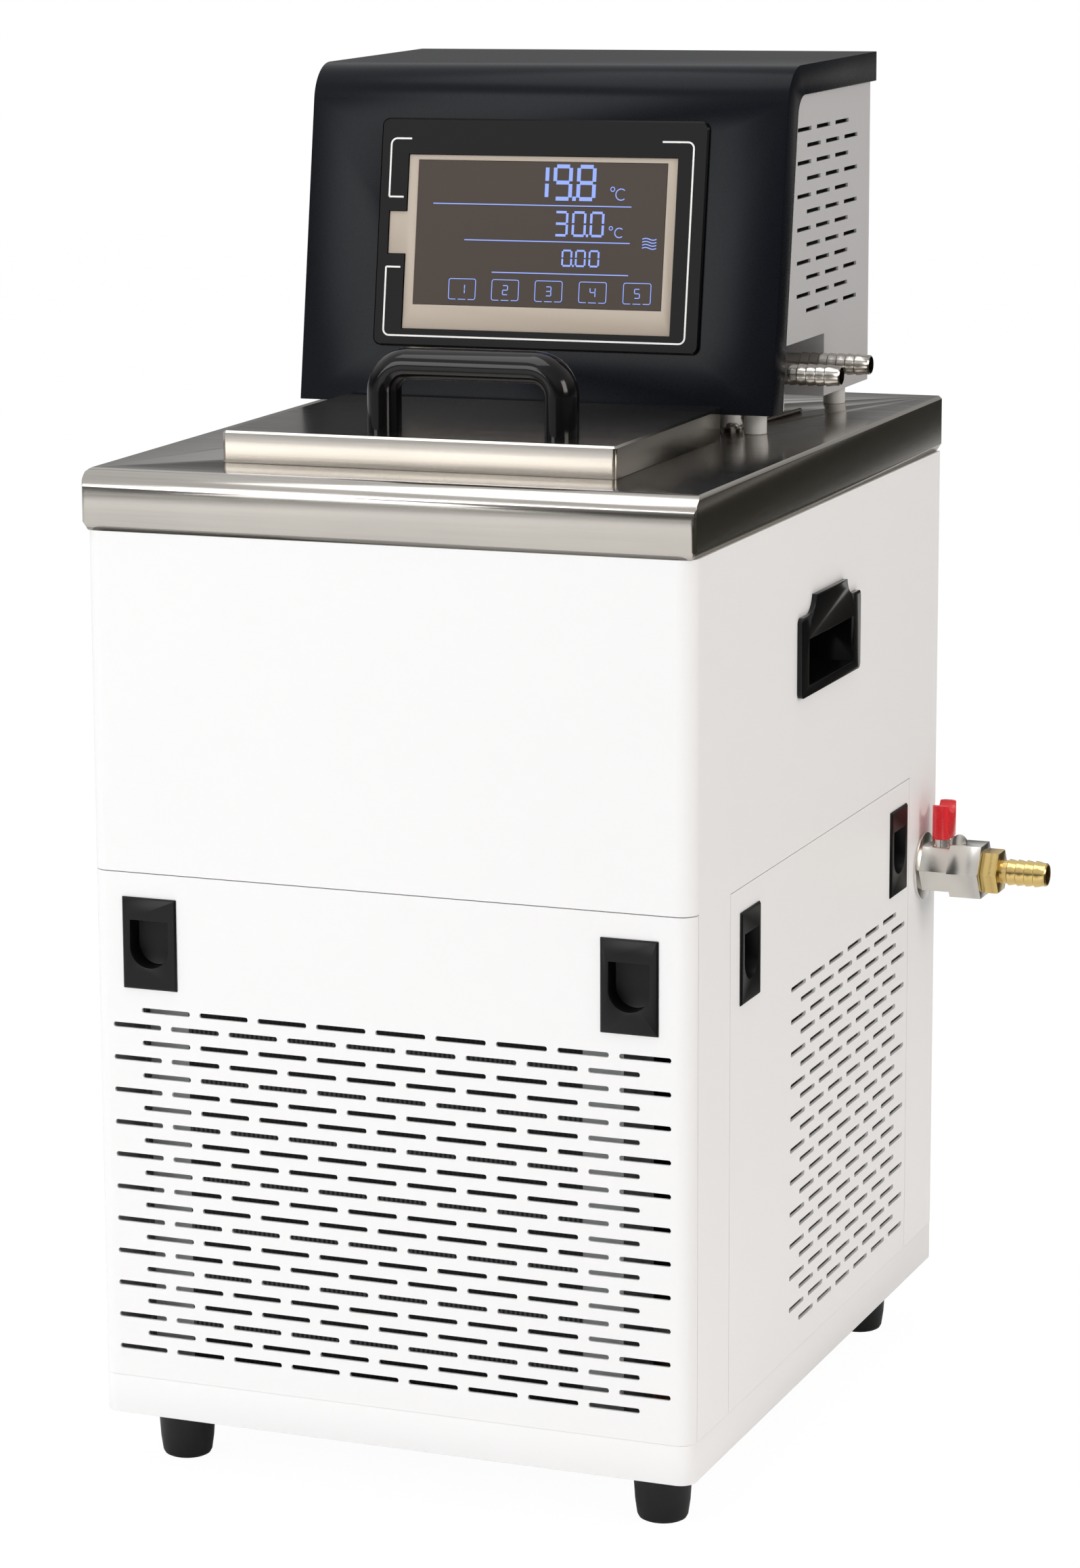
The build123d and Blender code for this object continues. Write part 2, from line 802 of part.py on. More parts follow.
# Lid liner: a second pan under the lid that drops into the bath opening
bath_middle = (bath_front + bath_back) / 2
liner_width = bath_width - 2 * liner_gap
liner_depth = bath_back - bath_front - 2 * liner_gap
with BuildPart() as lid_liner:
    with BuildSketch(Plane.XY.offset(deck_top - liner_drop)):
        with Locations((0, bath_middle)):
            RectangleRounded(liner_width, liner_depth, bath_corner - liner_gap)
    extrude(amount=lid_height - lid_sheet + liner_drop)
    with BuildSketch(Plane.XY.offset(deck_top - liner_drop + lid_sheet)):
        with Locations((0, bath_middle)):
            RectangleRounded(
                liner_width - 2 * lid_sheet, liner_depth - 2 * lid_sheet, bath_corner - liner_gap - lid_sheet
            )
    extrude(amount=lid_height + liner_drop, mode=Mode.SUBTRACT)

# Lid handle: a moulded U with softened edges, set off the lid's middle
with BuildPart() as lid_handle:
    with BuildSketch(Plane.XZ.offset(-handle_y)) as loop:
        with Locations((handle_x, lid_top + handle_height / 2)):
            Rectangle(handle_span + handle_thickness, handle_height)
        with Locations((handle_x, lid_top + (handle_height - handle_thickness) / 2)):
            Rectangle(handle_span - handle_thickness, handle_height - handle_thickness, mode=Mode.SUBTRACT)
        fillet(loop.vertices().group_by(Axis.Y)[-2], handle_bend - handle_thickness / 2)
        fillet(loop.vertices().group_by(Axis.Y)[-1], handle_bend + handle_thickness / 2)
    extrude(amount=handle_breadth / 2, both=True)
    ends = lid_handle.faces().filter_by(Axis.Y)
    rims = ends.edges().filter_by(lambda edge: edge.center().Z > lid_top + 0.1)
    chamfer(rims, handle_edge)

# Hood: one folded sheet with a leaning front, a round brow and a band down each side
with BuildPart() as head_hood:
    with BuildSketch(Plane.YZ) as band:
        with BuildLine():
            Polyline(
                leaning_point(0, head_bottom),
                leaning_point(0, head_top),
                (hood_back, head_top),
                (hood_back, head_top - hood_lip),
                leaning_point(hood_band, head_top - hood_lip),
                leaning_point(hood_band, head_bottom),
                close=True,
            )
        make_face()
        inner_brow = band.vertices().group_by(Axis.Y)[1].sort_by(Axis.X)[0]
        fillet(inner_brow, hood_band_radius)
        brow = band.vertices().group_by(Axis.Y)[-1].sort_by(Axis.X)[0]
        fillet(brow, hood_radius)
    extrude(amount=hood_width / 2, both=True)
    extrude(hood_room(hood_sheet), amount=hood_width / 2 - hood_sheet, both=True, mode=Mode.SUBTRACT)
    with BuildSketch(display_face):
        with Locations((0, (module_bottom + module_top) / 2)):
            Rectangle(module_width + module_rim, module_top - module_bottom + module_rim)
        with Locations((module_tab_x + module_rim / 2, (module_tab_bottom + module_tab_top) / 2)):
            Rectangle(2 * module_rim, module_tab_top - module_tab_bottom + module_rim / 4)
    extrude(amount=-3 * hood_sheet, mode=Mode.SUBTRACT)

# Head chassis: grey box in the hood, open at the front and top, vented right wall, corner notch for the barbs
chassis_width = hood_width - 2 * hood_sheet - 2 * head_fit
wall_x = chassis_width / 2
with BuildPart() as head_chassis:
    extrude(hood_room(hood_sheet + head_fit), amount=wall_x, both=True)
    with BuildSketch(Plane.YZ):
        with Locations((chassis_back, head_bottom)):
            Rectangle(hood_back, 3 * hood_height, align=(Align.MIN, Align.CENTER))
    extrude(amount=wall_x, both=True, mode=Mode.SUBTRACT)
    with BuildSketch(Plane.YZ):
        with Locations((chassis_back - hood_sheet, head_bottom + hood_sheet)):
            Rectangle(2 * hood_back, 2 * hood_height, align=(Align.MAX, Align.MIN))
    extrude(amount=wall_x - hood_sheet, both=True, mode=Mode.SUBTRACT)
    with BuildSketch(Plane.YZ.offset(wall_x)):
        with Locations(((notch_front + notch_back) / 2, head_bottom)):
            Rectangle(
                notch_back - notch_front + 2 * hood_sheet,
                notch_height + hood_sheet,
                align=(Align.CENTER, Align.MIN),
            )
    extrude(amount=-(wall_x - notch_x + hood_sheet))
    with BuildSketch(Plane.YZ.offset(wall_x)):
        with Locations(((notch_front + notch_back) / 2, head_bottom)):
            Rectangle(notch_back - notch_front, notch_height, align=(Align.CENTER, Align.MIN))
    extrude(amount=-(wall_x - notch_x), mode=Mode.SUBTRACT)
    with BuildSketch(Plane.YZ.offset(wall_x)):
        with Locations(*slot_places(vent_rows, vent_columns, vent_top_row, vent_y, -front_stagger)):
            Rectangle(vent_length, vent_width)
    extrude(amount=-hood_sheet, mode=Mode.SUBTRACT)
    with BuildSketch(Plane.YZ.offset(wall_x)):
        with Locations(*[(y, barb_z) for y in barb_y]):
            Circle(barb_root + fit)
    extrude(amount=-(wall_x - notch_x + 2 * hood_sheet), mode=Mode.SUBTRACT)
    with BuildSketch(Plane.XY.offset(head_bottom)):
        with Locations((pump_x, pump_y)):
            Circle(shaft_radius + shaft_clearance)
        with Locations((heater_x, heater_y)):
            Circle(heater_radius + fit)
        with Locations((probe_x, probe_y)):
            Circle(probe_radius + fit)
        with Locations(*[(manifold_x, y) for y in barb_y]):
            Circle(pipe_radius + fit)
    extrude(amount=hood_sheet, mode=Mode.SUBTRACT)

# Display bezel: a thin raised frame on the leaning front
module_middle = (module_bottom + module_top) / 2
tab_middle = (module_tab_bottom + module_tab_top) / 2
tab_width = -module_tab_x - module_width / 2


def module_outline(grow, plane):
    """Face of the display module with its tab, grown by this much all round."""
    with BuildSketch(plane) as face:
        with Locations((0, module_middle)):
            Rectangle(module_width + 2 * grow, module_top - module_bottom + 2 * grow)
        with Locations((-module_width / 2 - tab_width / 2, tab_middle)):
            Rectangle(tab_width + 2 * grow, module_tab_top - module_tab_bottom + 2 * grow)
    return face.sketch


with BuildPart() as display_bezel:
    with BuildSketch(display_face):
        with Locations((0, (bezel_bottom + bezel_top) / 2)):
            RectangleRounded(bezel_width, bezel_top - bezel_bottom, bezel_corner)
    extrude(amount=bezel_thickness)
    chamfer(display_bezel.faces().sort_by(Axis.Y)[0].edges(), cup_bevel)
    extrude(module_outline(display_fit, display_face), amount=bezel_thickness, mode=Mode.SUBTRACT)

# Display module: light frame that fills the bezel's window, on a wider plate behind the hood's sheet
module_back = display_face.offset(-hood_sheet - module_depth)
with BuildPart() as display_module:
    with BuildSketch(module_back):
        with Locations((0, module_middle)):
            Rectangle(module_width + 2 * plate_rim, module_top - module_bottom + 2 * module_rim)
    extrude(amount=module_depth)
    extrude(module_outline(0, display_face.offset(-hood_sheet)), amount=hood_sheet + module_proud)
    with BuildSketch(display_face.offset(module_proud)):
        with Locations((0, (screen_bottom + screen_top) / 2)):
            Rectangle(screen_width, screen_top - screen_bottom)
    extrude(amount=-screen_thickness, mode=Mode.SUBTRACT)

# Display glass in the module's pocket
with BuildPart() as display_glass:
    with BuildSketch(display_face.offset(module_proud - screen_thickness)):
        with Locations((0, (screen_bottom + screen_top) / 2)):
            Rectangle(screen_width - 2 * display_fit, screen_top - screen_bottom - 2 * display_fit)
    extrude(amount=screen_thickness - display_fit)

# Control board: stands behind the module on its back plate
with BuildPart() as control_board:
    with BuildSketch(module_back):
        with Locations((0, module_middle)):
            Rectangle(module_width, module_top - module_bottom)
    extrude(amount=-screen_thickness)

# White posts between the deck and the head
with BuildPart() as head_posts:
    with BuildSketch(Plane.XY.offset(deck_top)):
        with Locations(*[(x, y) for x in (-post_x, post_x) for y in (post_front, post_back)]):
            Circle(post_radius)
    extrude(amount=head_gap)

# Deck wire: a flat eye and a straight rod lying on the deck
wire_run = Vector(wire_end[0] - wire_eye[0], wire_end[1] - wire_eye[1], 0)
wire_start = Vector(*wire_eye, deck_top + wire_radius) + wire_run.normalized() * (eye_radius - wire_radius)
with BuildPart() as deck_wire:
    with BuildSketch(Plane.XY.offset(deck_top)):
        with Locations(wire_eye):
            Circle(eye_radius)
            Circle(eye_hole, mode=Mode.SUBTRACT)
    extrude(amount=2 * wire_radius)
    with BuildSketch(Plane(origin=wire_start, z_dir=wire_run)):
        Circle(wire_radius)
    extrude(amount=wire_run.length - eye_radius)

# Hose barbs: two stainless tails out of the notch, with the last ridge and a bore
with BuildPart() as hose_barbs:
    for y in barb_y:
        with BuildSketch(Plane(origin=(0, y, barb_z))):
            with BuildLine():
                Polyline(
                    (notch_x - hood_sheet, 0),
                    (notch_x - hood_sheet, barb_root),
                    (barb_tip - barb_ramp, barb_root),
                    (barb_tip - barb_ramp, barb_radius),
                    (barb_tip, barb_root),
                    (barb_tip, 0),
                    close=True,
                )
            make_face()
        revolve(axis=Axis((0, y, barb_z), (1, 0, 0)))
        with BuildSketch(Plane(origin=(barb_tip, y, barb_z), z_dir=(1, 0, 0))):
            Circle(barb_bore)
        extrude(amount=-(barb_tip - notch_x), mode=Mode.SUBTRACT)

# Pump manifold behind the notch, with one straight pipe down into the bath for each barb
with BuildPart() as pump_manifold:
    with BuildSketch(Plane.XY.offset(barb_z - manifold_height / 2)):
        with Locations((manifold_x, (barb_y[0] + barb_y[1]) / 2)):
            Rectangle(manifold_width, barb_y[1] - barb_y[0] + manifold_height)
    extrude(amount=manifold_height)

with BuildPart() as pump_pipes:
    with BuildSketch(Plane.XY.offset(pipe_bottom)):
        with Locations(*[(manifold_x, y) for y in barb_y]):
            Circle(pipe_radius)
    extrude(amount=barb_z - manifold_height / 2 - pipe_bottom)

# Pump: motor on the chassis floor, square column, housing, long shaft and vaned impeller
motor_bottom = head_bottom + hood_sheet
with BuildPart() as pump_motor:
    with BuildSketch(Plane.XY.offset(motor_bottom)):
        with Locations((pump_x, pump_y)):
            Rectangle(pump_motor_size, pump_motor_size)
            Circle(shaft_radius + running_gap, mode=Mode.SUBTRACT)
    extrude(amount=pump_motor_height)

column_bottom = pump_bottom + pump_height
with BuildPart() as pump_column:
    with BuildSketch(Plane.XY.offset(column_bottom)):
        with Locations((pump_x, pump_y)):
            Rectangle(column_size, column_size)
            Rectangle(column_size - 2 * column_wall, column_size - 2 * column_wall, mode=Mode.SUBTRACT)
    extrude(amount=head_bottom - column_bottom)

with BuildPart() as pump_housing:
    with BuildSketch(Plane.XY.offset(pump_bottom)):
        with Locations((pump_x, pump_y)):
            Rectangle(pump_size, pump_size)
    extrude(amount=pump_height)
    with BuildSketch(Plane.XY.offset(pump_bottom)):
        with Locations((pump_x, pump_y)):
            Circle(impeller_radius + impeller_gap)
    extrude(amount=impeller_height + 2 * impeller_gap, mode=Mode.SUBTRACT)
    with BuildSketch(Plane.XY.offset(pump_bottom)):
        with Locations((pump_x, pump_y)):
            Circle(shaft_radius + running_gap)
    extrude(amount=pump_height, mode=Mode.SUBTRACT)

impeller_bottom = pump_bottom + impeller_gap
with BuildPart() as pump_shaft:
    with BuildSketch(Plane.XY.offset(impeller_bottom)):
        with Locations((pump_x, pump_y)):
            Circle(shaft_radius)
    extrude(amount=motor_bottom + pump_motor_height - impeller_bottom)

with BuildPart() as pump_impeller:
    with BuildSketch(Plane.XY.offset(impeller_bottom)):
        with Locations((pump_x, pump_y)):
            Circle(impeller_hub_radius)
            with PolarLocations(impeller_radius / 2 + shaft_radius / 2, vane_count):
                Rectangle(impeller_radius - shaft_radius - vane_gap, blade_thickness)
    extrude(amount=impeller_height)
    with BuildSketch(Plane.XY.offset(impeller_bottom)):
        with Locations((pump_x, pump_y)):
            Circle(shaft_radius)
    extrude(amount=impeller_height, mode=Mode.SUBTRACT)

# Heater and temperature probe: straight rods hung from flanges on the chassis floor
with BuildPart() as bath_heater:
    with BuildSketch(Plane.XY.offset(heater_bottom)):
        with Locations((heater_x, heater_y)):
            Circle(heater_radius)
    extrude(amount=motor_bottom - heater_bottom)
    with BuildSketch(Plane.XY.offset(motor_bottom)):
        with Locations((heater_x, heater_y)):
            Rectangle(2 * fitting_flange, 2 * fitting_flange)
    extrude(amount=fitting_height)

with BuildPart() as temperature_probe:
    with BuildSketch(Plane.XY.offset(probe_bottom)):
        with Locations((probe_x, probe_y)):
            Circle(probe_radius)
    extrude(amount=motor_bottom - probe_bottom)
    with BuildSketch(Plane.XY.offset(motor_bottom)):
        with Locations((probe_x, probe_y)):
            Rectangle(2 * fitting_flange, 2 * fitting_flange)
    extrude(amount=fitting_height)

# Drain tap: round rose on the cabinet, hexagon valve body, collar for the stem, tail through the sheet
tap_face = Plane(origin=(side_x, tap_y, tap_z), x_dir=(0, 1, 0), z_dir=(1, 0, 0))
rose_face = tap_face.offset(rose_thickness)
nut_face = rose_face.offset(valve_length)
tail_end = drain_x + drain_block_size / 2
with BuildPart() as tap_body:
    with BuildSketch(tap_face):
        Circle(rose_radius)
    extrude(amount=rose_thickness)
    with BuildSketch(rose_face):
        RegularPolygon(hexagon_radius(valve_flats), 6)
    extrude(amount=valve_length)
    with BuildSketch(nut_face):
        RegularPolygon(hexagon_radius(nut_flats), 6)
    extrude(amount=nut_length)
    with BuildSketch(tap_face):
        Circle(tail_radius)
    extrude(amount=-(side_x - tail_end))
    with BuildSketch(Plane(origin=(lever_x, tap_y, tap_z))):
        Circle(collar_radius)
    extrude(amount=lever_bottom - tap_z)
    with BuildSketch(Plane(origin=(lever_x, tap_y, lever_bottom))):
        Circle(stem_radius + running_gap)
    extrude(amount=-stem_depth, mode=Mode.SUBTRACT)
    with BuildSketch(Plane.XZ.offset(-(tap_y - stop_offset))):
        with BuildLine():
            Polyline(
                (stop_x - stop_width / 2, stop_top - stop_width / 2),
                (stop_x - stop_width / 2, tap_z + valve_flats / 2),
                (stop_x + stop_width / 2, tap_z + valve_flats / 2),
                (stop_x + stop_width / 2, stop_top - stop_width / 2),
            )
            ThreePointArc(
                (stop_x - stop_width / 2, stop_top - stop_width / 2),
                (stop_x, stop_top),
                (stop_x + stop_width / 2, stop_top - stop_width / 2),
            )
        make_face()
    extrude(amount=stop_thickness / 2, both=True)

with BuildPart() as tap_stem:
    with BuildSketch(Plane(origin=(lever_x, tap_y, lever_bottom - stem_depth))):
        Circle(stem_radius)
    extrude(amount=stem_depth + stem_head)

# Red butterfly lever: two wings with a dip between them, narrower at the waist
with BuildPart() as tap_lever:
    with BuildSketch(Plane(origin=(lever_x, tap_y, lever_bottom))) as plan:
        with BuildLine():
            Polyline(
                (-lever_width / 2, lever_length / 2),
                (lever_width / 2, lever_length / 2),
                (lever_waist, 0),
                (lever_width / 2, -lever_length / 2),
                (-lever_width / 2, -lever_length / 2),
                (-lever_waist, 0),
                close=True,
            )
        make_face()
        fillet(plan.vertices().group_by(Axis.Y)[0] + plan.vertices().group_by(Axis.Y)[-1], lever_round)
    extrude(amount=lever_height)
    with BuildSketch(Plane.YZ.offset(lever_x)):
        with BuildLine():
            crest = lever_bottom + lever_height
            Line((tap_y - lever_web, crest), (tap_y + lever_web, crest))
            ThreePointArc((tap_y - lever_web, crest), (tap_y, crest - lever_dip), (tap_y + lever_web, crest))
        make_face()
    extrude(amount=lever_width, both=True, mode=Mode.SUBTRACT)
    with BuildSketch(Plane(origin=(lever_x, tap_y, lever_bottom))):
        Circle(stem_radius)
    extrude(amount=stem_head, mode=Mode.SUBTRACT)

# Brass hose tail screwed into the tap
tap_barb_face = nut_face.offset(nut_length)
tap_barb_start = side_x + rose_thickness + valve_length + nut_length
with BuildPart() as tap_barb:
    with BuildSketch(tap_barb_face):
        RegularPolygon(hexagon_radius(tap_barb_flats), 6, rotation=30)
    extrude(amount=tap_barb_hex)
    with BuildSketch(Plane(origin=(tap_barb_start + tap_barb_hex, tap_y, tap_z))):
        with BuildLine():
            Polyline(
                (0, 0),
                (0, tap_barb_root),
                (tap_barb_length - tap_barb_ramp, tap_barb_root),
                (tap_barb_length - tap_barb_ramp, tap_barb_radius),
                (tap_barb_length, tap_barb_root),
                (tap_barb_length, 0),
                close=True,
            )
        make_face()
    revolve(axis=Axis((tap_barb_start, tap_y, tap_z), (1, 0, 0)))
    with BuildSketch(tap_barb_face.offset(tap_barb_hex + tap_barb_length)):
        Circle(tap_barb_bore)
    extrude(amount=-tap_barb_length - tap_barb_hex + sheet, mode=Mode.SUBTRACT)

# Drain: pipe from the tank's floor to a block that the tap's tail screws into
with BuildPart() as drain_pipe:
    with BuildSketch(Plane.XY.offset(tap_z + drain_block_size / 2)):
        with Locations((drain_x, drain_y)):
            Circle(drain_radius)
            Circle(tap_barb_bore, mode=Mode.SUBTRACT)
    extrude(amount=tank_bottom - tap_z - drain_block_size / 2)

with BuildPart() as drain_block:
    with BuildSketch(Plane.XY.offset(tap_z - drain_block_size / 2)):
        with Locations((drain_x, (drain_y + tap_y) / 2)):
            Rectangle(drain_block_size, tap_y - drain_y + drain_block_size)
    extrude(amount=drain_block_size)

# Condenser: finned core between two end plates that stand on the tray
condenser_middle = condenser_front + condenser_depth / 2
with BuildPart() as condenser_core:
    with BuildSketch(Plane.XY.offset(condenser_bottom)):
        with Locations(((condenser_left + condenser_right) / 2, condenser_middle)):
            Rectangle(condenser_right - condenser_left, condenser_depth)
    extrude(amount=condenser_top - condenser_bottom)

with BuildPart() as condenser_end_plates:
    with BuildSketch(Plane.XY.offset(tray_floor)):
        with Locations(
            (condenser_left - plate_width / 2, condenser_middle),
            (condenser_right + plate_width / 2, condenser_middle),
        ):
            Rectangle(plate_width, condenser_depth)
            with Locations((0, sheet)):
                Rectangle(plate_width - 2 * sheet, condenser_depth, mode=Mode.SUBTRACT)
    extrude(amount=plate_top - tray_floor)

# Fan behind the condenser: shroud plate, motor on a bracket, hub with curved blades and its shaft
shroud_y = condenser_front + condenser_depth
with BuildPart() as fan_shroud:
    with BuildSketch(Plane.XZ.offset(-shroud_y)):
        with Locations(((condenser_left + condenser_right) / 2, (tray_floor + condenser_top) / 2)):
            Rectangle(condenser_right - condenser_left + 2 * plate_width, condenser_top - tray_floor)
        with Locations((fan_x, fan_z)):
            Circle(fan_radius + fan_gap, mode=Mode.SUBTRACT)
    extrude(amount=-sheet)

fan_front_y = shroud_y + shroud_gap
fan_plane = Plane(origin=(fan_x, fan_front_y, fan_z), x_dir=(1, 0, 0), z_dir=(0, 1, 0))
with BuildPart() as fan_blades:
    with BuildSketch(fan_plane):
        Circle(fan_hub_radius)
    extrude(amount=fan_hub_length)
    with BuildSketch(fan_plane.offset(fan_hub_length)):
        Circle(fan_shaft_radius)
    extrude(amount=fan_shaft_length)
    for index in range(fan_blades_count):
        turn = Rot(0, index * 360 / fan_blades_count, 0)
        root = Plane(
            origin=(0, fan_hub_length / 2, fan_hub_radius - fan_gap), x_dir=(1, 0, 0), z_dir=(0, 0, 1)
        )
        with BuildSketch(root, mode=Mode.PRIVATE) as chord:
            with BuildLine():
                half_chord = blade_width / 2
                drop = half_chord * math.tan(math.radians(blade_pitch))
                camber = blade_camber * blade_width
                ThreePointArc((-half_chord, -drop / 2), (0, camber), (half_chord, drop / 2))
                Line((half_chord, drop / 2), (half_chord, drop / 2 + blade_thickness))
                ThreePointArc(
                    (half_chord, drop / 2 + blade_thickness),
                    (0, camber + blade_thickness),
                    (-half_chord, -drop / 2 + blade_thickness),
                )
                Line((-half_chord, -drop / 2 + blade_thickness), (-half_chord, -drop / 2))
            make_face()
        blade = extrude(chord.sketch, amount=fan_radius - fan_hub_radius, mode=Mode.PRIVATE)
        add(Pos(fan_x, fan_front_y, fan_z) * turn * blade)

motor_front_y = fan_front_y + fan_hub_length + fan_gap
with BuildPart() as fan_motor:
    with BuildSketch(Plane.XZ.offset(-motor_front_y)):
        with Locations((fan_x, fan_z)):
            Rectangle(fan_motor_size, fan_motor_size)
    extrude(amount=-fan_motor_length)
    with BuildSketch(Plane.XZ.offset(-motor_front_y)):
        with Locations((fan_x, fan_z)):
            Circle(fan_shaft_radius + running_gap)
    extrude(amount=-fan_shaft_length, mode=Mode.SUBTRACT)

with BuildPart() as fan_bracket:
    with BuildSketch(Plane.XY.offset(tray_floor)):
        with Locations((fan_x, motor_front_y + fan_motor_length / 2)):
            Rectangle(fan_motor_size, fan_motor_length)
    extrude(amount=sheet)
    with BuildSketch(Plane.XY.offset(tray_floor)):
        with Locations((fan_x, motor_front_y + fan_motor_length / 2)):
            Rectangle(fan_motor_size / 2, sheet)
    extrude(amount=fan_z - fan_motor_size / 2 - tray_floor)

# Compressor: rounded welded shell on four square rubber pads
shell_bottom = tray_floor + pad_height
with BuildPart() as compressor:
    with BuildSketch(Plane.XY.offset(shell_bottom)):
        with Locations((compressor_x, compressor_y)):
            RectangleRounded(compressor_width, compressor_depth, compressor_corner)
    extrude(amount=compressor_height)
    chamfer(compressor.faces().sort_by(Axis.Z)[-1].edges(), compressor_shoulder)

with BuildPart() as compressor_pads:
    with BuildSketch(Plane.XY.offset(tray_floor)):
        with Locations((compressor_x, compressor_y)):
            with GridLocations(2 * pad_x, 2 * pad_y, 2, 2):
                Rectangle(pad_size, pad_size)
    extrude(amount=pad_height)

# Filter dryer on the tray and the copper line from the compressor's top to the condenser
dryer_x = condenser_right + plate_width / 2
dryer_y = condenser_front + condenser_depth + dryer_length / 2
with BuildPart() as filter_dryer:
    with BuildSketch(Plane(origin=(dryer_x, shroud_y + sheet, tray_floor + dryer_radius), z_dir=(0, 1, 0))):
        Circle(dryer_radius)
    extrude(amount=dryer_length)

line_top = condenser_top + line_rise
with BuildPart() as discharge_line:
    with BuildLine() as route:
        FilletPolyline(
            (compressor_x, compressor_y, shell_bottom + compressor_height),
            (compressor_x, compressor_y, line_top),
            (compressor_x, condenser_middle, line_top),
            (compressor_x, condenser_middle, condenser_top),
            radius=line_bend,
        )
    with BuildSketch(Plane(origin=route.line @ 0, z_dir=route.line % 0)):
        Circle(line_radius)
    sweep()

pieces = {
    "cabinet_shell": cabinet_shell,
    "front_grille_panel": front_grille_panel,
    "right_side_panel": right_side_panel,
    "left_side_panel": left_side_panel,
    "base_tray": base_tray,
    "feet": feet,
    "front_finger_cups": front_finger_cups,
    "right_finger_cups": right_finger_cups,
    "left_finger_cups": left_finger_cups,
    "right_carry_handle": right_carry_handle,
    "left_carry_handle": left_carry_handle,
    "rear_panel": rear_panel,
    "mains_inlet": mains_inlet,
    "switch_bezel": switch_bezel,
    "mains_rocker": mains_rocker,
    "middle_shelf": middle_shelf,
    "deck": deck,
    "bath_tank": bath_tank,
    "evaporator_jacket": evaporator_jacket,
    "tank_insulation": tank_insulation,
    "bath_lid": bath_lid,
    "lid_liner": lid_liner,
    "lid_handle": lid_handle,
    "head_hood": head_hood,
    "head_chassis": head_chassis,
    "display_bezel": display_bezel,
    "display_module": display_module,
    "display_glass": display_glass,
    "control_board": control_board,
    "head_posts": head_posts,
    "deck_wire": deck_wire,
    "hose_barbs": hose_barbs,
    "pump_manifold": pump_manifold,
    "pump_pipes": pump_pipes,
    "pump_motor": pump_motor,
    "pump_column": pump_column,
    "pump_housing": pump_housing,
    "pump_shaft": pump_shaft,
    "pump_impeller": pump_impeller,
    "bath_heater": bath_heater,
    "temperature_probe": temperature_probe,
    "tap_body": tap_body,
    "tap_stem": tap_stem,
    "tap_lever": tap_lever,
    "tap_barb": tap_barb,
    "drain_pipe": drain_pipe,
    "drain_block": drain_block,
    "condenser_core": condenser_core,
    "condenser_end_plates": condenser_end_plates,
    "fan_shroud": fan_shroud,
    "fan_blades": fan_blades,
    "fan_motor": fan_motor,
    "fan_bracket": fan_bracket,
    "compressor": compressor,
    "compressor_pads": compressor_pads,
    "filter_dryer": filter_dryer,
    "discharge_line": discharge_line,
}

os.makedirs("parts", exist_ok=True)
for name, piece in pieces.items():
    piece.part.label = name
    export_step(piece.part, f"parts/{name}.step")
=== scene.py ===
# %% [markdown]
# A laboratory bath chiller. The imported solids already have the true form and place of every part, so this
# lesson adds what solids can't carry: rounded edges, powder coat, brushed steel, ribbed hose tails, the
# lit display and the small screws. It starts with the frame, because every new piece is placed by it.

# %% The frame
import json
import math

import bmesh
import bpy
from mathutils import Matrix, Vector


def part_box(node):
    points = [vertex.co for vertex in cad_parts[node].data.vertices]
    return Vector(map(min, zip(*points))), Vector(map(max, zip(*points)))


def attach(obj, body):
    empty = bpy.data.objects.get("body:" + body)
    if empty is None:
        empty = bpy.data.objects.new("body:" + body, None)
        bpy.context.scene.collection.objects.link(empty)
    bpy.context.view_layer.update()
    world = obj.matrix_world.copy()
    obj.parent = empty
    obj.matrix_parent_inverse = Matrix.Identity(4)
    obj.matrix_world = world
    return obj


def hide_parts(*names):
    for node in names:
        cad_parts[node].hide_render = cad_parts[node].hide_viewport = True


MM = 0.001
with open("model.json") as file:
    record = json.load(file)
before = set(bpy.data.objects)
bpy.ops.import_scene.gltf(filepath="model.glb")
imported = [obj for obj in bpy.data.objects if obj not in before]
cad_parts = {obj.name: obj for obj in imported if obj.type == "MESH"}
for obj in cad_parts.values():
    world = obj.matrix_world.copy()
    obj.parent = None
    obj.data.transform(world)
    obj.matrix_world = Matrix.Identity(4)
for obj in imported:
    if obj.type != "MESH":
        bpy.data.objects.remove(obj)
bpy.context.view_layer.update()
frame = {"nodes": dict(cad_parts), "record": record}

# %% [markdown]
# The camera comes first, so that each later choice can be judged in the real view. A tall product is shot
# with a long lens from a little above and to its right, and the picture is cropped off the lens's axis. Lens
# shift reproduces that crop without turning the camera, so that upright edges keep their lean.

# %% Camera
IMAGE_WIDTH = 1596
IMAGE_HEIGHT = 2318
FOCAL_PIXELS = 7137.5
AXIS_PIXEL = (329.7, 1169.1)
CAMERA_PLACE = Vector((0.8393, -2.1981, 0.7936))
AZIMUTH = math.radians(24.646)
ELEVATION = math.radians(11.583)
ROLL = math.radians(-0.966)
SENSOR = 36.0
NEAREST = 0.05

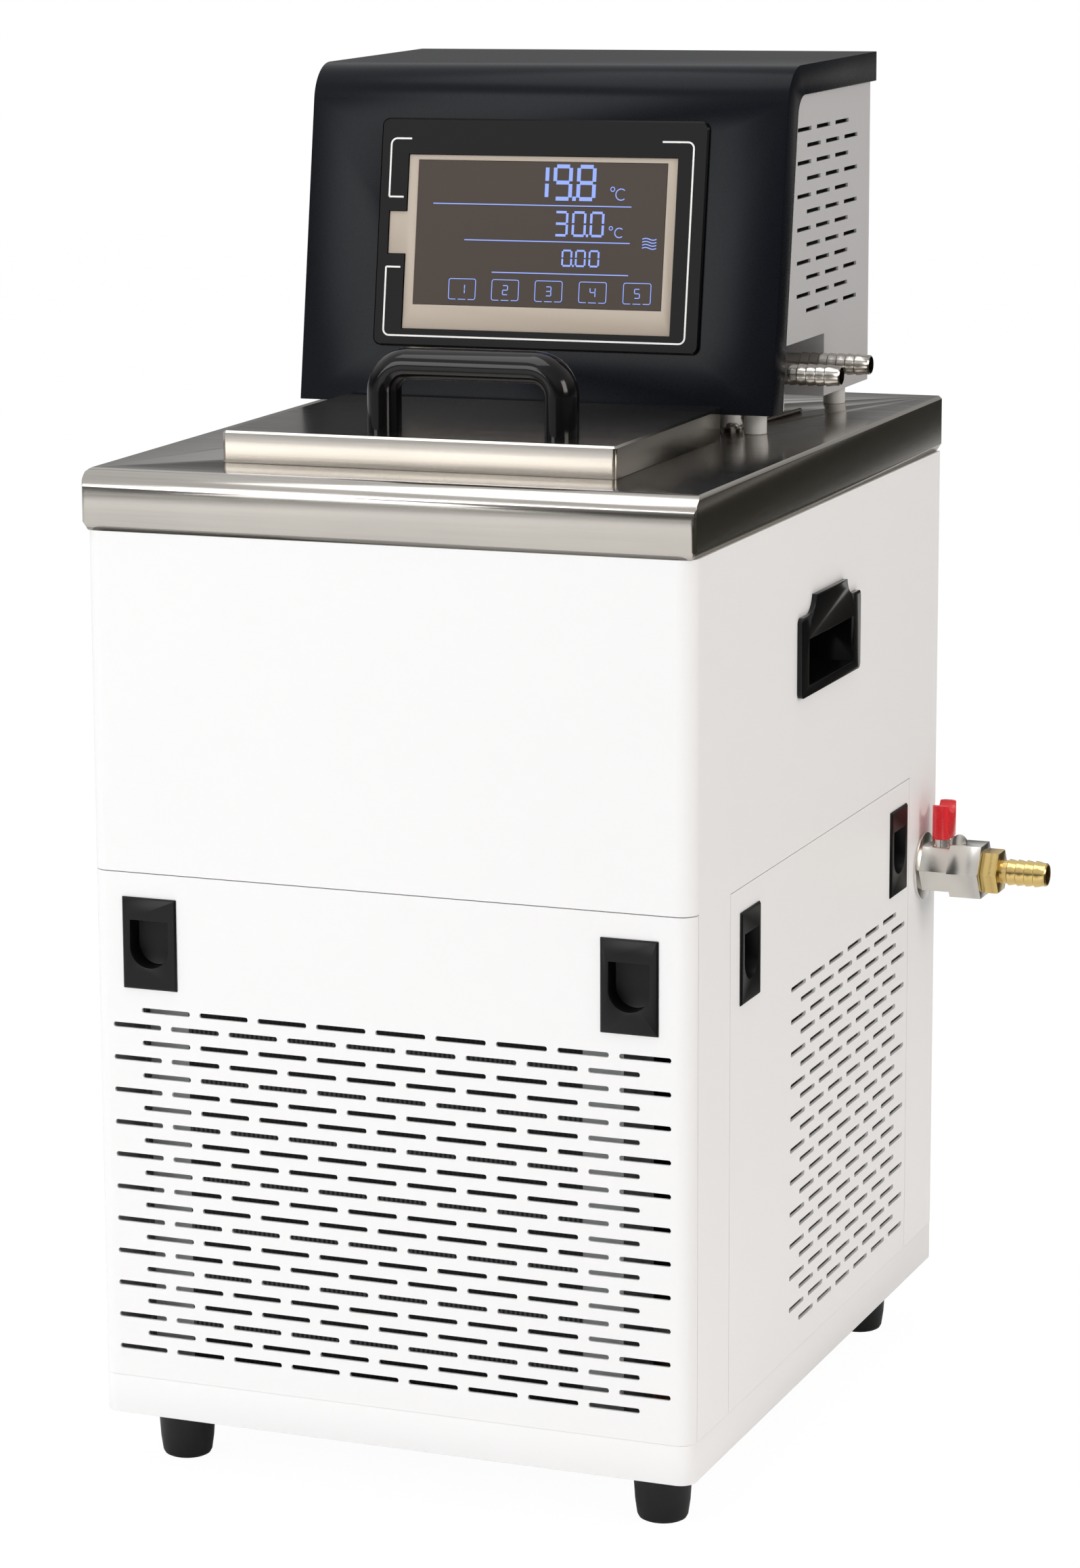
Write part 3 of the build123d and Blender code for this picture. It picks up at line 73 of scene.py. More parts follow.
right = Vector((math.cos(AZIMUTH), math.sin(AZIMUTH), 0))
back = Vector(
    (
        math.sin(AZIMUTH) * math.cos(ELEVATION),
        -math.cos(AZIMUTH) * math.cos(ELEVATION),
        math.sin(ELEVATION),
    )
)
up = back.cross(right)
rolled_right = math.cos(ROLL) * right + math.sin(ROLL) * up
rolled_up = math.cos(ROLL) * up - math.sin(ROLL) * right
lens = bpy.data.cameras.new("camera")
lens.sensor_fit = "VERTICAL"
lens.sensor_height = SENSOR
lens.sensor_width = SENSOR
lens.lens = FOCAL_PIXELS / IMAGE_HEIGHT * SENSOR
lens.shift_x = (IMAGE_WIDTH / 2 - AXIS_PIXEL[0]) / IMAGE_HEIGHT
lens.shift_y = (AXIS_PIXEL[1] - IMAGE_HEIGHT / 2) / IMAGE_HEIGHT
lens.clip_start = NEAREST
camera = bpy.data.objects.new("camera", lens)
camera.matrix_world = Matrix.Translation(CAMERA_PLACE) @ Matrix(
    (rolled_right, rolled_up, back)
).transposed().to_4x4()
bpy.context.collection.objects.link(camera)
bpy.context.scene.camera = camera
bpy.context.scene.view_settings.view_transform = "Standard"
print("lens:", round(lens.lens, 2), "shift:", round(lens.shift_x, 4), round(lens.shift_y, 4))

# %% [markdown]
# White goods are shot in a bright tent. The world is plain white where the camera sees it. What lights the
# object is white on its left and a warm grey on its right, which turns the right side of the cabinet grey.
# A dark band just above the horizon gives the steel and the gloss black something dark to reflect.

# %% World
TENT_STRENGTH = 0.78
TENT_LEFT = (1.0, 1.0, 1.0, 1)
TENT_RIGHT = (0.50, 0.46, 0.42, 1)
TURN_START = -0.2
TURN_END = 0.9
BANDS = ((0.0, 0.55), (0.47, 0.50), (0.50, 0.16), (0.55, 0.10), (0.62, 0.55), (0.72, 1.0), (1.0, 1.0))
world = bpy.data.worlds.new("tent")
bpy.context.scene.world = world
world.use_nodes = True
tree = world.node_tree
tree.nodes.clear()
out = tree.nodes.new("ShaderNodeOutputWorld")
mix = tree.nodes.new("ShaderNodeMixShader")
seen = tree.nodes.new("ShaderNodeBackground")
seen.inputs["Color"].default_value = (1, 1, 1, 1)
tent = tree.nodes.new("ShaderNodeBackground")
tent.inputs["Strength"].default_value = TENT_STRENGTH
path = tree.nodes.new("ShaderNodeLightPath")
where = tree.nodes.new("ShaderNodeTexCoord")
split = tree.nodes.new("ShaderNodeSeparateXYZ")
side = tree.nodes.new("ShaderNodeMapRange")
side.inputs["From Min"].default_value = TURN_START
side.inputs["From Max"].default_value = TURN_END
blend = tree.nodes.new("ShaderNodeMix")
blend.data_type = "RGBA"
blend.inputs["A"].default_value = TENT_LEFT
blend.inputs["B"].default_value = TENT_RIGHT
bands = tree.nodes.new("ShaderNodeValToRGB")
# a new ramp has two stops already, so only the later ones are added
for index, (place, level) in enumerate(BANDS):
    stop = bands.color_ramp.elements[index] if index < 2 else bands.color_ramp.elements.new(place)
    stop.position = place
    stop.color = (level, level, level, 1)
height = tree.nodes.new("ShaderNodeMapRange")
height.inputs["From Min"].default_value = -1.0
shade = tree.nodes.new("ShaderNodeMix")
shade.data_type = "RGBA"
shade.blend_type = "MULTIPLY"
shade.inputs["Factor"].default_value = 1.0
tree.links.new(where.outputs["Generated"], split.inputs[0])
tree.links.new(split.outputs["X"], side.inputs["Value"])
tree.links.new(side.outputs["Result"], blend.inputs["Factor"])
tree.links.new(split.outputs["Z"], height.inputs["Value"])
tree.links.new(height.outputs["Result"], bands.inputs["Fac"])
tree.links.new(blend.outputs["Result"], shade.inputs["A"])
tree.links.new(bands.outputs["Color"], shade.inputs["B"])
tree.links.new(shade.outputs["Result"], tent.inputs["Color"])
tree.links.new(path.outputs["Is Camera Ray"], mix.inputs["Fac"])
tree.links.new(tent.outputs[0], mix.inputs[1])
tree.links.new(seen.outputs[0], mix.inputs[2])
tree.links.new(mix.outputs[0], out.inputs["Surface"])
print("world: tent of strength", TENT_STRENGTH, "with", len(BANDS), "bands")

# %% [markdown]
# Three large lamps give the soft shading: one in front on the left, one above and a warm one on the right.
# They are wide, because a small lamp would draw hard edges on the paint.


# %% Lamps
def lamp(name, place, target, size, power, color=(1, 1, 1)):
    """A square area lamp at a place, turned towards a target."""
    data = bpy.data.lights.new(name, "AREA")
    data.size = size
    data.energy = power
    data.color = color
    light = bpy.data.objects.new(name, data)
    light.location = place
    light.rotation_euler = (Vector(target) - Vector(place)).to_track_quat("-Z", "Y").to_euler()
    bpy.context.collection.objects.link(light)


MIDDLE = (0, 0, 0.35)
lamp("front_lamp", (-1.1, -2.4, 1.3), MIDDLE, 1.5, 26)
lamp("top_lamp", (-0.2, -0.3, 2.2), MIDDLE, 1.4, 14)
lamp("right_lamp", (2.4, -0.2, 1.3), MIDDLE, 1.0, 20, (1.0, 0.95, 0.90))

# %% [markdown]
# The floor is a sheet of white paper. Most of what the camera sees of it glows, so that it stays white, and
# the small rest takes the object's shadow. To the right it is dark for reflections only, like a black card
# beside the object, and that is what darkens the rim of the steel deck.

# %% Floor
FLOOR_SIZE = 6
PAPER = (0.92, 0.92, 0.92, 1)
PAPER_GLOW = 1.03
GLOW_SHARE = 0.93
CARD = (0.05, 0.048, 0.04, 1)
CARD_START = 0.25
CARD_FULL = 0.45
floor_mesh = bmesh.new()
bmesh.ops.create_grid(floor_mesh, x_segments=1, y_segments=1, size=FLOOR_SIZE)
floor_data = bpy.data.meshes.new("floor")
floor_mesh.to_mesh(floor_data)
floor_mesh.free()
floor = bpy.data.objects.new("floor", floor_data)
bpy.context.collection.objects.link(floor)
paper = bpy.data.materials.new("paper")
paper.use_nodes = True
tree = paper.node_tree
tree.nodes.clear()
out = tree.nodes.new("ShaderNodeOutputMaterial")
mix = tree.nodes.new("ShaderNodeMixShader")
sheet = tree.nodes.new("ShaderNodeBsdfDiffuse")
sheet.inputs["Color"].default_value = PAPER
glow = tree.nodes.new("ShaderNodeEmission")
glow.inputs["Strength"].default_value = PAPER_GLOW
path = tree.nodes.new("ShaderNodeLightPath")
share = tree.nodes.new("ShaderNodeMath")
share.operation = "MULTIPLY"
share.inputs[1].default_value = GLOW_SHARE
card = tree.nodes.new("ShaderNodeBsdfDiffuse")
card.inputs["Color"].default_value = CARD
where = tree.nodes.new("ShaderNodeTexCoord")
split = tree.nodes.new("ShaderNodeSeparateXYZ")
side = tree.nodes.new("ShaderNodeMapRange")
side.inputs["From Min"].default_value = CARD_START
side.inputs["From Max"].default_value = CARD_FULL
seen_in_metal = tree.nodes.new("ShaderNodeMath")
seen_in_metal.operation = "MULTIPLY"
cover = tree.nodes.new("ShaderNodeMixShader")
tree.links.new(where.outputs["Object"], split.inputs[0])
tree.links.new(split.outputs["X"], side.inputs["Value"])
tree.links.new(side.outputs["Result"], seen_in_metal.inputs[0])
tree.links.new(path.outputs["Is Glossy Ray"], seen_in_metal.inputs[1])
tree.links.new(seen_in_metal.outputs[0], cover.inputs["Fac"])
tree.links.new(sheet.outputs[0], cover.inputs[1])
tree.links.new(card.outputs[0], cover.inputs[2])
tree.links.new(path.outputs["Is Camera Ray"], share.inputs[0])
tree.links.new(share.outputs[0], mix.inputs["Fac"])
tree.links.new(cover.outputs[0], mix.inputs[1])
tree.links.new(glow.outputs[0], mix.inputs[2])
tree.links.new(mix.outputs[0], out.inputs["Surface"])
floor_data.materials.append(paper)
print("floor:", 2 * FLOOR_SIZE, "m wide")

# %% [markdown]
# Most finishes on this machine differ in only a few numbers, so two node groups do the shared work. Fine
# speckle is the skin of powder coat, moulding and rubber: a small noise that varies the colour, the
# roughness and the height. Brushed lines is the same with the noise pulled out along one direction, which
# is what a belt sander leaves on steel. Both read Object coordinates, so the grain stays on the part.


# %% Node groups
CLOUD_SCALE = 14.0
NOISE_MIDDLE = 0.5


def texture_group(name, detail):
    """A group that puts out a varied colour, a varied roughness and a height from one stretched noise."""
    group = bpy.data.node_groups.new(name, "ShaderNodeTree")
    sockets = group.interface
    for label, kind in (
        ("Color", "NodeSocketColor"),
        ("Grain", "NodeSocketVector"),
        ("Variation", "NodeSocketFloat"),
        ("Roughness", "NodeSocketFloat"),
        ("Spread", "NodeSocketFloat"),
    ):
        sockets.new_socket(label, in_out="INPUT", socket_type=kind)
    for label, kind in (
        ("Color", "NodeSocketColor"),
        ("Roughness", "NodeSocketFloat"),
        ("Height", "NodeSocketFloat"),
    ):
        sockets.new_socket(label, in_out="OUTPUT", socket_type=kind)
    nodes, links = group.nodes, group.links
    given = nodes.new("NodeGroupInput")
    result = nodes.new("NodeGroupOutput")
    place = nodes.new("ShaderNodeTexCoord")
    stretch = nodes.new("ShaderNodeVectorMath")
    stretch.operation = "MULTIPLY"
    noise = nodes.new("ShaderNodeTexNoise")
    noise.inputs["Scale"].default_value = 1.0
    noise.inputs["Detail"].default_value = detail
    cloud = nodes.new("ShaderNodeTexNoise")
    cloud.inputs["Scale"].default_value = CLOUD_SCALE
    centred = nodes.new("ShaderNodeMath")
    centred.operation = "SUBTRACT"
    centred.inputs[1].default_value = NOISE_MIDDLE
    cloud_centred = nodes.new("ShaderNodeMath")
    cloud_centred.operation = "SUBTRACT"
    cloud_centred.inputs[1].default_value = NOISE_MIDDLE
    both = nodes.new("ShaderNodeMath")
    both.operation = "ADD"
    shade = nodes.new("ShaderNodeMath")
    shade.operation = "MULTIPLY_ADD"
    shade.inputs[2].default_value = 1.0
    tint = nodes.new("ShaderNodeVectorMath")
    tint.operation = "SCALE"
    rough = nodes.new("ShaderNodeMath")
    rough.operation = "MULTIPLY_ADD"
    links.new(place.outputs["Object"], stretch.inputs[0])
    links.new(given.outputs["Grain"], stretch.inputs[1])
    links.new(stretch.outputs[0], noise.inputs["Vector"])
    links.new(place.outputs["Object"], cloud.inputs["Vector"])
    links.new(noise.outputs["Fac"], centred.inputs[0])
    links.new(cloud.outputs["Fac"], cloud_centred.inputs[0])
    links.new(centred.outputs[0], both.inputs[0])
    links.new(cloud_centred.outputs[0], both.inputs[1])
    links.new(both.outputs[0], shade.inputs[0])
    links.new(given.outputs["Variation"], shade.inputs[1])
    links.new(given.outputs["Color"], tint.inputs[0])
    links.new(shade.outputs[0], tint.inputs["Scale"])
    links.new(centred.outputs[0], rough.inputs[0])
    links.new(given.outputs["Spread"], rough.inputs[1])
    links.new(given.outputs["Roughness"], rough.inputs[2])
    links.new(tint.outputs[0], result.inputs["Color"])
    links.new(rough.outputs[0], result.inputs["Roughness"])
    links.new(noise.outputs["Fac"], result.inputs["Height"])
    return group


fine_speckle = texture_group("fine_speckle", 3.0)
brushed_lines = texture_group("brushed_lines", 2.0)
print("groups:", fine_speckle.name, brushed_lines.name)


def finish(name, color, roughness, group=None, grain=(900, 900, 900), variation=0.04, spread=0.1,
           bump=0.05, depth=0.0001, metallic=0.0, coat=0.0, specular=0.5):
    """A material from one of the two groups, with its own grain, colour and gloss."""
    material = bpy.data.materials.new(name)
    material.use_nodes = True
    tree = material.node_tree
    shader = tree.nodes["Principled BSDF"]
    texture = tree.nodes.new("ShaderNodeGroup")
    texture.node_tree = group or fine_speckle
    texture.inputs["Color"].default_value = (*color, 1)
    texture.inputs["Grain"].default_value = grain
    texture.inputs["Variation"].default_value = variation
    texture.inputs["Roughness"].default_value = roughness
    texture.inputs["Spread"].default_value = spread
    raise_grain = tree.nodes.new("ShaderNodeBump")
    raise_grain.inputs["Strength"].default_value = bump
    raise_grain.inputs["Distance"].default_value = depth
    shader.inputs["Metallic"].default_value = metallic
    shader.inputs["Coat Weight"].default_value = coat
    shader.inputs["Specular IOR Level"].default_value = specular
    tree.links.new(texture.outputs["Color"], shader.inputs["Base Color"])
    tree.links.new(texture.outputs["Roughness"], shader.inputs["Roughness"])
    tree.links.new(texture.outputs["Height"], raise_grain.inputs["Height"])
    tree.links.new(raise_grain.outputs["Normal"], shader.inputs["Normal"])
    return material


# %% [markdown]
# Each finish is then one line of numbers. Powder coat has a fine orange peel and little gloss. The deck is
# brushed across the machine, so its grain is stretched along X. The carry handles and the lid handle are
# polished moulding, and the tap's parts are plated, red nylon and turned brass.

# %% Finishes
ALONG_X = (18, 900, 900)
ALONG_Z = (900, 900, 30)
finishes = {
    "white_paint": finish("white_paint", (0.90, 0.90, 0.905), 0.42, variation=0.012, bump=0.06),
    "grey_paint": finish("grey_paint", (0.52, 0.52, 0.53), 0.45, variation=0.02, bump=0.06),
    "black_paint": finish("black_paint", (0.0040, 0.0052, 0.0085), 0.28, variation=0.15, bump=0.05,
                          specular=0.12),
    "stainless": finish("stainless", (0.50, 0.475, 0.44), 0.18, brushed_lines, ALONG_X, 0.16, 0.16, 0.08,
                        metallic=1.0),
    "galvanised": finish("galvanised", (0.55, 0.56, 0.57), 0.42, grain=(60, 60, 60), variation=0.15,
                         metallic=1.0),
    "steel": finish("steel", (0.40, 0.40, 0.40), 0.35, grain=(300, 300, 300), variation=0.1, metallic=1.0),
    "aluminium": finish("aluminium", (0.30, 0.30, 0.31), 0.45, brushed_lines, ALONG_Z, 0.35,
                        metallic=0.8),
    "nickel": finish("nickel", (0.72, 0.70, 0.66), 0.22, grain=(250, 250, 250), variation=0.08,
                     metallic=1.0),
    "brass": finish("brass", (0.80, 0.60, 0.24), 0.22, grain=(120, 900, 900), variation=0.12,
                    metallic=1.0),
    "copper": finish("copper", (0.72, 0.36, 0.22), 0.3, variation=0.12, metallic=1.0),
    "black_gloss": finish("black_gloss", (0.004, 0.004, 0.005), 0.12, variation=0.05, spread=0.04,
                          bump=0.02, specular=0.32),
    "black_plastic": finish("black_plastic", (0.004, 0.004, 0.005), 0.38, variation=0.15, bump=0.12,
                            specular=0.25),
    "red_plastic": finish("red_plastic", (0.78, 0.02, 0.03), 0.26, variation=0.08, coat=0.3),
    "white_plastic": finish("white_plastic", (0.86, 0.86, 0.85), 0.35, variation=0.03),
    "beige_plastic": finish("beige_plastic", (0.50, 0.43, 0.36), 0.38, variation=0.03, specular=0.3),
    "screen": finish("screen", (0.056, 0.040, 0.030), 0.20, variation=0.05, spread=0.03, bump=0.0,
                     specular=0.12),
    "board": finish("board", (0.02, 0.16, 0.06), 0.35, grain=(400, 400, 400), variation=0.2),
    "foam": finish("foam", (0.72, 0.66, 0.50), 0.8, grain=(500, 500, 500), variation=0.15, bump=0.3),
    "black_enamel": finish("black_enamel", (0.012, 0.012, 0.012), 0.25, variation=0.1),
    "rubber": finish("rubber", (0.008, 0.008, 0.009), 0.50, variation=0.2, bump=0.15, specular=0.3),
}
bezel_gloss = finish("bezel_gloss", (0.001, 0.001, 0.001), 0.16, variation=0.05, spread=0.03, bump=0.0,
                     specular=0.08)
node_slot = {part["node"]: part["material_slot"] for part in frame["record"]["subparts"]}


def repaint(node, material):
    """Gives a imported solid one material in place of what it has."""
    materials = frame["nodes"][node].data.materials
    materials.clear()
    materials.append(material)


for node in frame["nodes"]:
    repaint(node, finishes[node_slot[node]])
print("finishes:", len(finishes))

# %% [markdown]
# New pieces all end the same way: the normals are made to point outwards, faces are shaded smooth up to a
# chosen angle, the piece gets its finish and is told which body it rides on, and the solid it stands for is
# hidden. One function does this, so no piece can miss a step.

# %% Finishing a piece
WELD = 1e-6
BODY_OF = {"tap_lever": "tap_lever", "tap_stem": "tap_lever", "fan_blades": "condenser_fan",
           "pump_shaft": "pump_rotor", "pump_impeller": "pump_rotor", "mains_rocker": "rocker"}
SHARP = math.radians(38)


def piece(name, mesh, material, body="cabinet", stands_for=()):
    """Turns a bmesh into a finished piece of the object."""
    bmesh.ops.remove_doubles(mesh, verts=mesh.verts, dist=WELD)
    bmesh.ops.recalc_face_normals(mesh, faces=mesh.faces)
    for face in mesh.faces:
        face.smooth = True
    for edge in mesh.edges:
        edge.smooth = len(edge.link_faces) == 2 and edge.calc_face_angle(0) < SHARP
    data = bpy.data.meshes.new(name)
    mesh.to_mesh(data)
    mesh.free()
    made = bpy.data.objects.new(name, data)
    bpy.context.collection.objects.link(made)
    data.materials.append(material)
    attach(made, body)
    if stands_for:
        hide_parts(*stands_for)


# %% [markdown]
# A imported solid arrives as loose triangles. Before an operator can work on its edges, the triangles are
# welded, and those that lie in one plane are joined into whole faces, so that only real edges are left.

# %% Copies of solids
FLAT = math.radians(1)
CORNER = math.radians(50)


def joined_copy(node):
    """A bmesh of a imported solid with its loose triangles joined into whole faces."""
    mesh = bmesh.new()
    mesh.from_mesh(frame["nodes"][node].data)
    bmesh.ops.remove_doubles(mesh, verts=mesh.verts, dist=WELD)
    bmesh.ops.dissolve_limit(mesh, angle_limit=FLAT, verts=mesh.verts, edges=mesh.edges)
    return mesh


def rounded_copy(node, width):
    """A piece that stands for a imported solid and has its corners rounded."""
    mesh = joined_copy(node)
    edges = [e for e in mesh.edges if len(e.link_faces) == 2 and e.calc_face_angle(0) > CORNER]
    bmesh.ops.bevel(mesh, geom=edges, offset=width, affect="EDGES", segments=2, profile=0.5,
                    clamp_overlap=True, material=-1)
    slot = node_slot[node]
    piece(node + "_rounded", mesh, finishes[slot], BODY_OF.get(node, "cabinet"), (node,))


# %% [markdown]
# Folded and pressed sheet never has a knife edge, and moulded parts least of all. The solids keep their
# edges sharp, so these copies get a small round each. The widths are judged: about a millimetre on the
# tray, the lever and the compressor, and 0.25 to 0.7 mm on the other parts.

# %% Rounded edges
ROUNDS = {
    "base_tray": 1.2 * MM,
    "bath_lid": 0.6 * MM,
    "deck": 0.7 * MM,
    "head_hood": 0.35 * MM,
    "right_carry_handle": 0.7 * MM,
    "left_carry_handle": 0.7 * MM,
    "front_finger_cups": 0.35 * MM,
    "right_finger_cups": 0.35 * MM,
    "left_finger_cups": 0.35 * MM,
    "display_module": 0.3 * MM,
    "tap_body": 0.25 * MM,
    "tap_lever": 0.9 * MM,
    "switch_bezel": 0.3 * MM,
    "mains_rocker": 0.3 * MM,
    "mains_inlet": 0.3 * MM,
    "head_posts": 0.4 * MM,
    "compressor": 1.0 * MM,
    "fan_blades": 0.3 * MM,
}
for node, width in ROUNDS.items():
    rounded_copy(node, width)
print("rounded:", len(ROUNDS))


# %% [markdown]
# The punching tool leaves slots with round ends, and the solids keep them square. Each slot's four short
# corner edges run through the sheet, so they are found by the tiny end wall beside them and rounded.

# %% Slots with round ends
SLOT_ROUND = 1.1 * MM
END_WALL = 4.5 * MM * MM
PARALLEL = 0.999
for node, through in (
    ("front_grille_panel", Vector((0, 1, 0))),
    ("right_side_panel", Vector((1, 0, 0))),
    ("head_chassis", Vector((1, 0, 0))),
):
    sheet = joined_copy(node)
    corners = []
    for edge in sheet.edges:
        run = edge.verts[1].co - edge.verts[0].co
        along = abs(run.normalized().dot(through)) > PARALLEL
        if along and len(edge.link_faces) == 2 and min(f.calc_area() for f in edge.link_faces) < END_WALL:
            corners.append(edge)
    bmesh.ops.bevel(sheet, geom=corners, offset=SLOT_ROUND, affect="EDGES", segments=3, profile=0.5,
                    clamp_overlap=True, material=-1)
    print("slot corners:", node, len(corners))
    piece(node + "_punched", sheet, finishes[node_slot[node]], stands_for=(node,))

# %% [markdown]
# Turned parts are drawn as half a section and spun. The profile is a short list of radius and distance
# pairs, and a second helper joins spun shapes that belong to one piece.


# %% Tools for turned parts
def turned(profile, place, axis, steps=64):
    """A bmesh spun from (radius, distance along the axis) pairs about an axis through a place."""
    mesh = bmesh.new()
    verts = [mesh.verts.new((radius, 0, along)) for radius, along in profile]
    edges = [mesh.edges.new(pair) for pair in zip(verts, verts[1:])]
    bmesh.ops.spin(mesh, geom=verts + edges, cent=(0, 0, 0), axis=(0, 0, 1), angle=2 * math.pi,
                   steps=steps, use_merge=True)
    turn = Vector((0, 0, 1)).rotation_difference(Vector(axis)).to_matrix().to_4x4()
    bmesh.ops.transform(mesh, matrix=Matrix.Translation(place) @ turn, verts=mesh.verts)
    return mesh


def merge(target, other):
    """Adds a second bmesh to the first."""
    data = bpy.data.meshes.new("part")
    other.to_mesh(data)
    other.free()
    target.from_mesh(data)
    bpy.data.meshes.remove(data)


# %% [markdown]
# The four feet are one node, so they are one piece. Each is moulded rubber that widens from a sole with a
# rounded edge to its full width at the tray.

# %% Feet
FOOT_RADIUS = 14.0 * MM
FOOT_STEPS = 40
low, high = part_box("feet")
foot_height = high.z - low.z
feet = bmesh.new()
foot_profile = [
    (0, 0),
    (FOOT_RADIUS * 0.72, 0),
    (FOOT_RADIUS * 0.80, 0.6 * MM),
    (FOOT_RADIUS * 0.86, 2.2 * MM),
    (FOOT_RADIUS * 0.93, foot_height * 0.30),
    (FOOT_RADIUS * 0.98, foot_height * 0.66),
    (FOOT_RADIUS, foot_height * 0.92),
    (FOOT_RADIUS, foot_height),
    (0, foot_height),
]
for x in (low.x + FOOT_RADIUS, high.x - FOOT_RADIUS):
    for y in (low.y + FOOT_RADIUS, high.y - FOOT_RADIUS):
        merge(feet, turned(foot_profile, (x, y, 0), (0, 0, 1), FOOT_STEPS))
piece("rubber_feet", feet, finishes["rubber"], stands_for=("feet",))
print("feet:", round(foot_height / MM, 1), "mm high")

# %% [markdown]
# A hose tail carries a row of ridges that grip a hose. Each rises steeply and falls slowly towards the tip,
# so the hose slides on and is held. A loop adds them to the profile, and the bore closes it.

# %% Steel hose tails
RIDGE_PITCH = 4.6 * MM
STEEP_END = 0.12
SLOPE_MIDDLE = 0.5
SLOPE_SINK = 0.3
SLOPE_END = 0.95
TIP_EDGE = 0.6 * MM


def ridged_tail(length, root, ridge, bore, count, plain):
    """Profile of a hose tail: a plain stretch, ridges that fall slowly to the tip, then the bore."""
    profile = [(root, 0), (root, plain)]
    for index in range(count):
        start = plain + index * RIDGE_PITCH
        profile.append((root, start))
        profile.append((ridge, start + RIDGE_PITCH * STEEP_END))
        profile.append((ridge - (ridge - root) * SLOPE_SINK, start + RIDGE_PITCH * SLOPE_MIDDLE))
        profile.append((root, start + RIDGE_PITCH * SLOPE_END))
    profile += [(root, length - TIP_EDGE), (root - TIP_EDGE, length), (bore, length), (bore, 0)]
    return profile


ROOT_SHARE = 0.90
BORE_SHARE = 0.76
TAIL_RIDGES = 7
TAIL_PLAIN = 22 * MM
low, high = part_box("hose_barbs")
tails = bmesh.new()
tail_radius = (high.z - low.z) / 2
tail_profile = ridged_tail(high.x - low.x, tail_radius * ROOT_SHARE, tail_radius, tail_radius * BORE_SHARE,
                           TAIL_RIDGES, TAIL_PLAIN)
for y in (low.y + tail_radius, high.y - tail_radius):
    merge(tails, turned(tail_profile, (low.x, y, (low.z + high.z) / 2), (1, 0, 0)))
piece("ridged_hose_tails", tails, finishes["stainless"], stands_for=("hose_barbs",))
print("hose tails:", round(2 * tail_radius / MM, 1), "mm across,", TAIL_RIDGES, "ridges each")

# %% [markdown]
# The drain's tail is brass and starts in a six-sided nut. The nut is a cone of six sides with equal ends,
# and the edges round its two ends get a small round, as a turned nut has.

# %% Brass hose tail
HEX_LENGTH = 9 * MM
HEX_ROUND = 0.9 * MM
BRASS_RADIUS = 6.8 * MM
BRASS_ROOT = 6.0 * MM
BRASS_BORE = 4.6 * MM
BRASS_RIDGES = 4
BRASS_PLAIN = 3.5 * MM
low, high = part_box("tap_barb")
hex_radius = (high.z - low.z) / 2
tap_axis = Vector((low.x, (low.y + high.y) / 2, (low.z + high.z) / 2))
brass_tail = bmesh.new()
nut = bmesh.new()
bmesh.ops.create_cone(nut, cap_ends=True, segments=6, radius1=hex_radius, radius2=hex_radius,
                      depth=HEX_LENGTH)
standing = [e for e in nut.edges if abs(e.verts[0].co.z - e.verts[1].co.z) < WELD]
bmesh.ops.bevel(nut, geom=standing, offset=HEX_ROUND, affect="EDGES", segments=2, profile=0.5, material=-1)
turn = Matrix.Rotation(math.radians(90), 4, "Y")
bmesh.ops.transform(nut, matrix=Matrix.Translation(tap_axis + Vector((HEX_LENGTH / 2, 0, 0))) @ turn,
                    verts=nut.verts)
merge(brass_tail, nut)
brass_profile = ridged_tail(high.x - low.x - HEX_LENGTH, BRASS_ROOT, BRASS_RADIUS, BRASS_BORE, BRASS_RIDGES,
                            BRASS_PLAIN)
merge(brass_tail, turned(brass_profile, tap_axis + Vector((HEX_LENGTH, 0, 0)), (1, 0, 0)))
piece("brass_hose_tail", brass_tail, finishes["brass"], stands_for=("tap_barb",))
print("brass tail:", round((high.x - low.x) / MM, 1), "mm long")

# %% [markdown]
# The lid handle is one moulded bow with an oval section. Rings of points are set along a path with two
# bends and bridged to a tube. Each ring is as wide as the handle from front to back, and less thick.

# %% Lid handle
low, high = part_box("lid_handle")
BOW_THICK = 15 * MM
BOW_BEND = 13 * MM
BEND_STEPS = 8
BOW_SIDES = 28
bow_x = (low.x + BOW_THICK / 2, high.x - BOW_THICK / 2)
bow_top = high.z - BOW_THICK / 2
bow_y = (low.y + high.y) / 2
path_points = [Vector((bow_x[0], bow_y, low.z))]
for corner_x, way in ((bow_x[0], 1), (bow_x[1], -1)):
    centre = Vector((corner_x + way * BOW_BEND, bow_y, bow_top - BOW_BEND))
    arc = []
    for step in range(BEND_STEPS + 1):
        angle = math.radians(step * 90 / BEND_STEPS)
        arc.append(centre + BOW_BEND * Vector((-way * math.cos(angle), 0, math.sin(angle))))
    path_points += arc if way == 1 else list(reversed(arc))
path_points.append(Vector((bow_x[1], bow_y, low.z)))
bow = bmesh.new()
rings = []
for index, point in enumerate(path_points):
    ahead = path_points[min(index + 1, len(path_points) - 1)]
    behind = path_points[max(index - 1, 0)]
    along = (ahead - behind).normalized()
    across = along.cross(Vector((0, 1, 0)))
    ring = []
    for step in range(BOW_SIDES):
        angle = 2 * math.pi * step / BOW_SIDES
        oval_y = (high.y - low.y) / 2 * math.sin(angle)
        ring.append(bow.verts.new(point + across * BOW_THICK / 2 * math.cos(angle) + Vector((0, oval_y, 0))))
    rings.append([bow.edges.new((ring[k - 1], ring[k])) for k in range(BOW_SIDES)])
for first, second in zip(rings, rings[1:]):
    bmesh.ops.bridge_loops(bow, edges=first + second)
bmesh.ops.holes_fill(bow, edges=bow.edges)
piece("lid_bow_handle", bow, finishes["black_gloss"], stands_for=("lid_handle",))
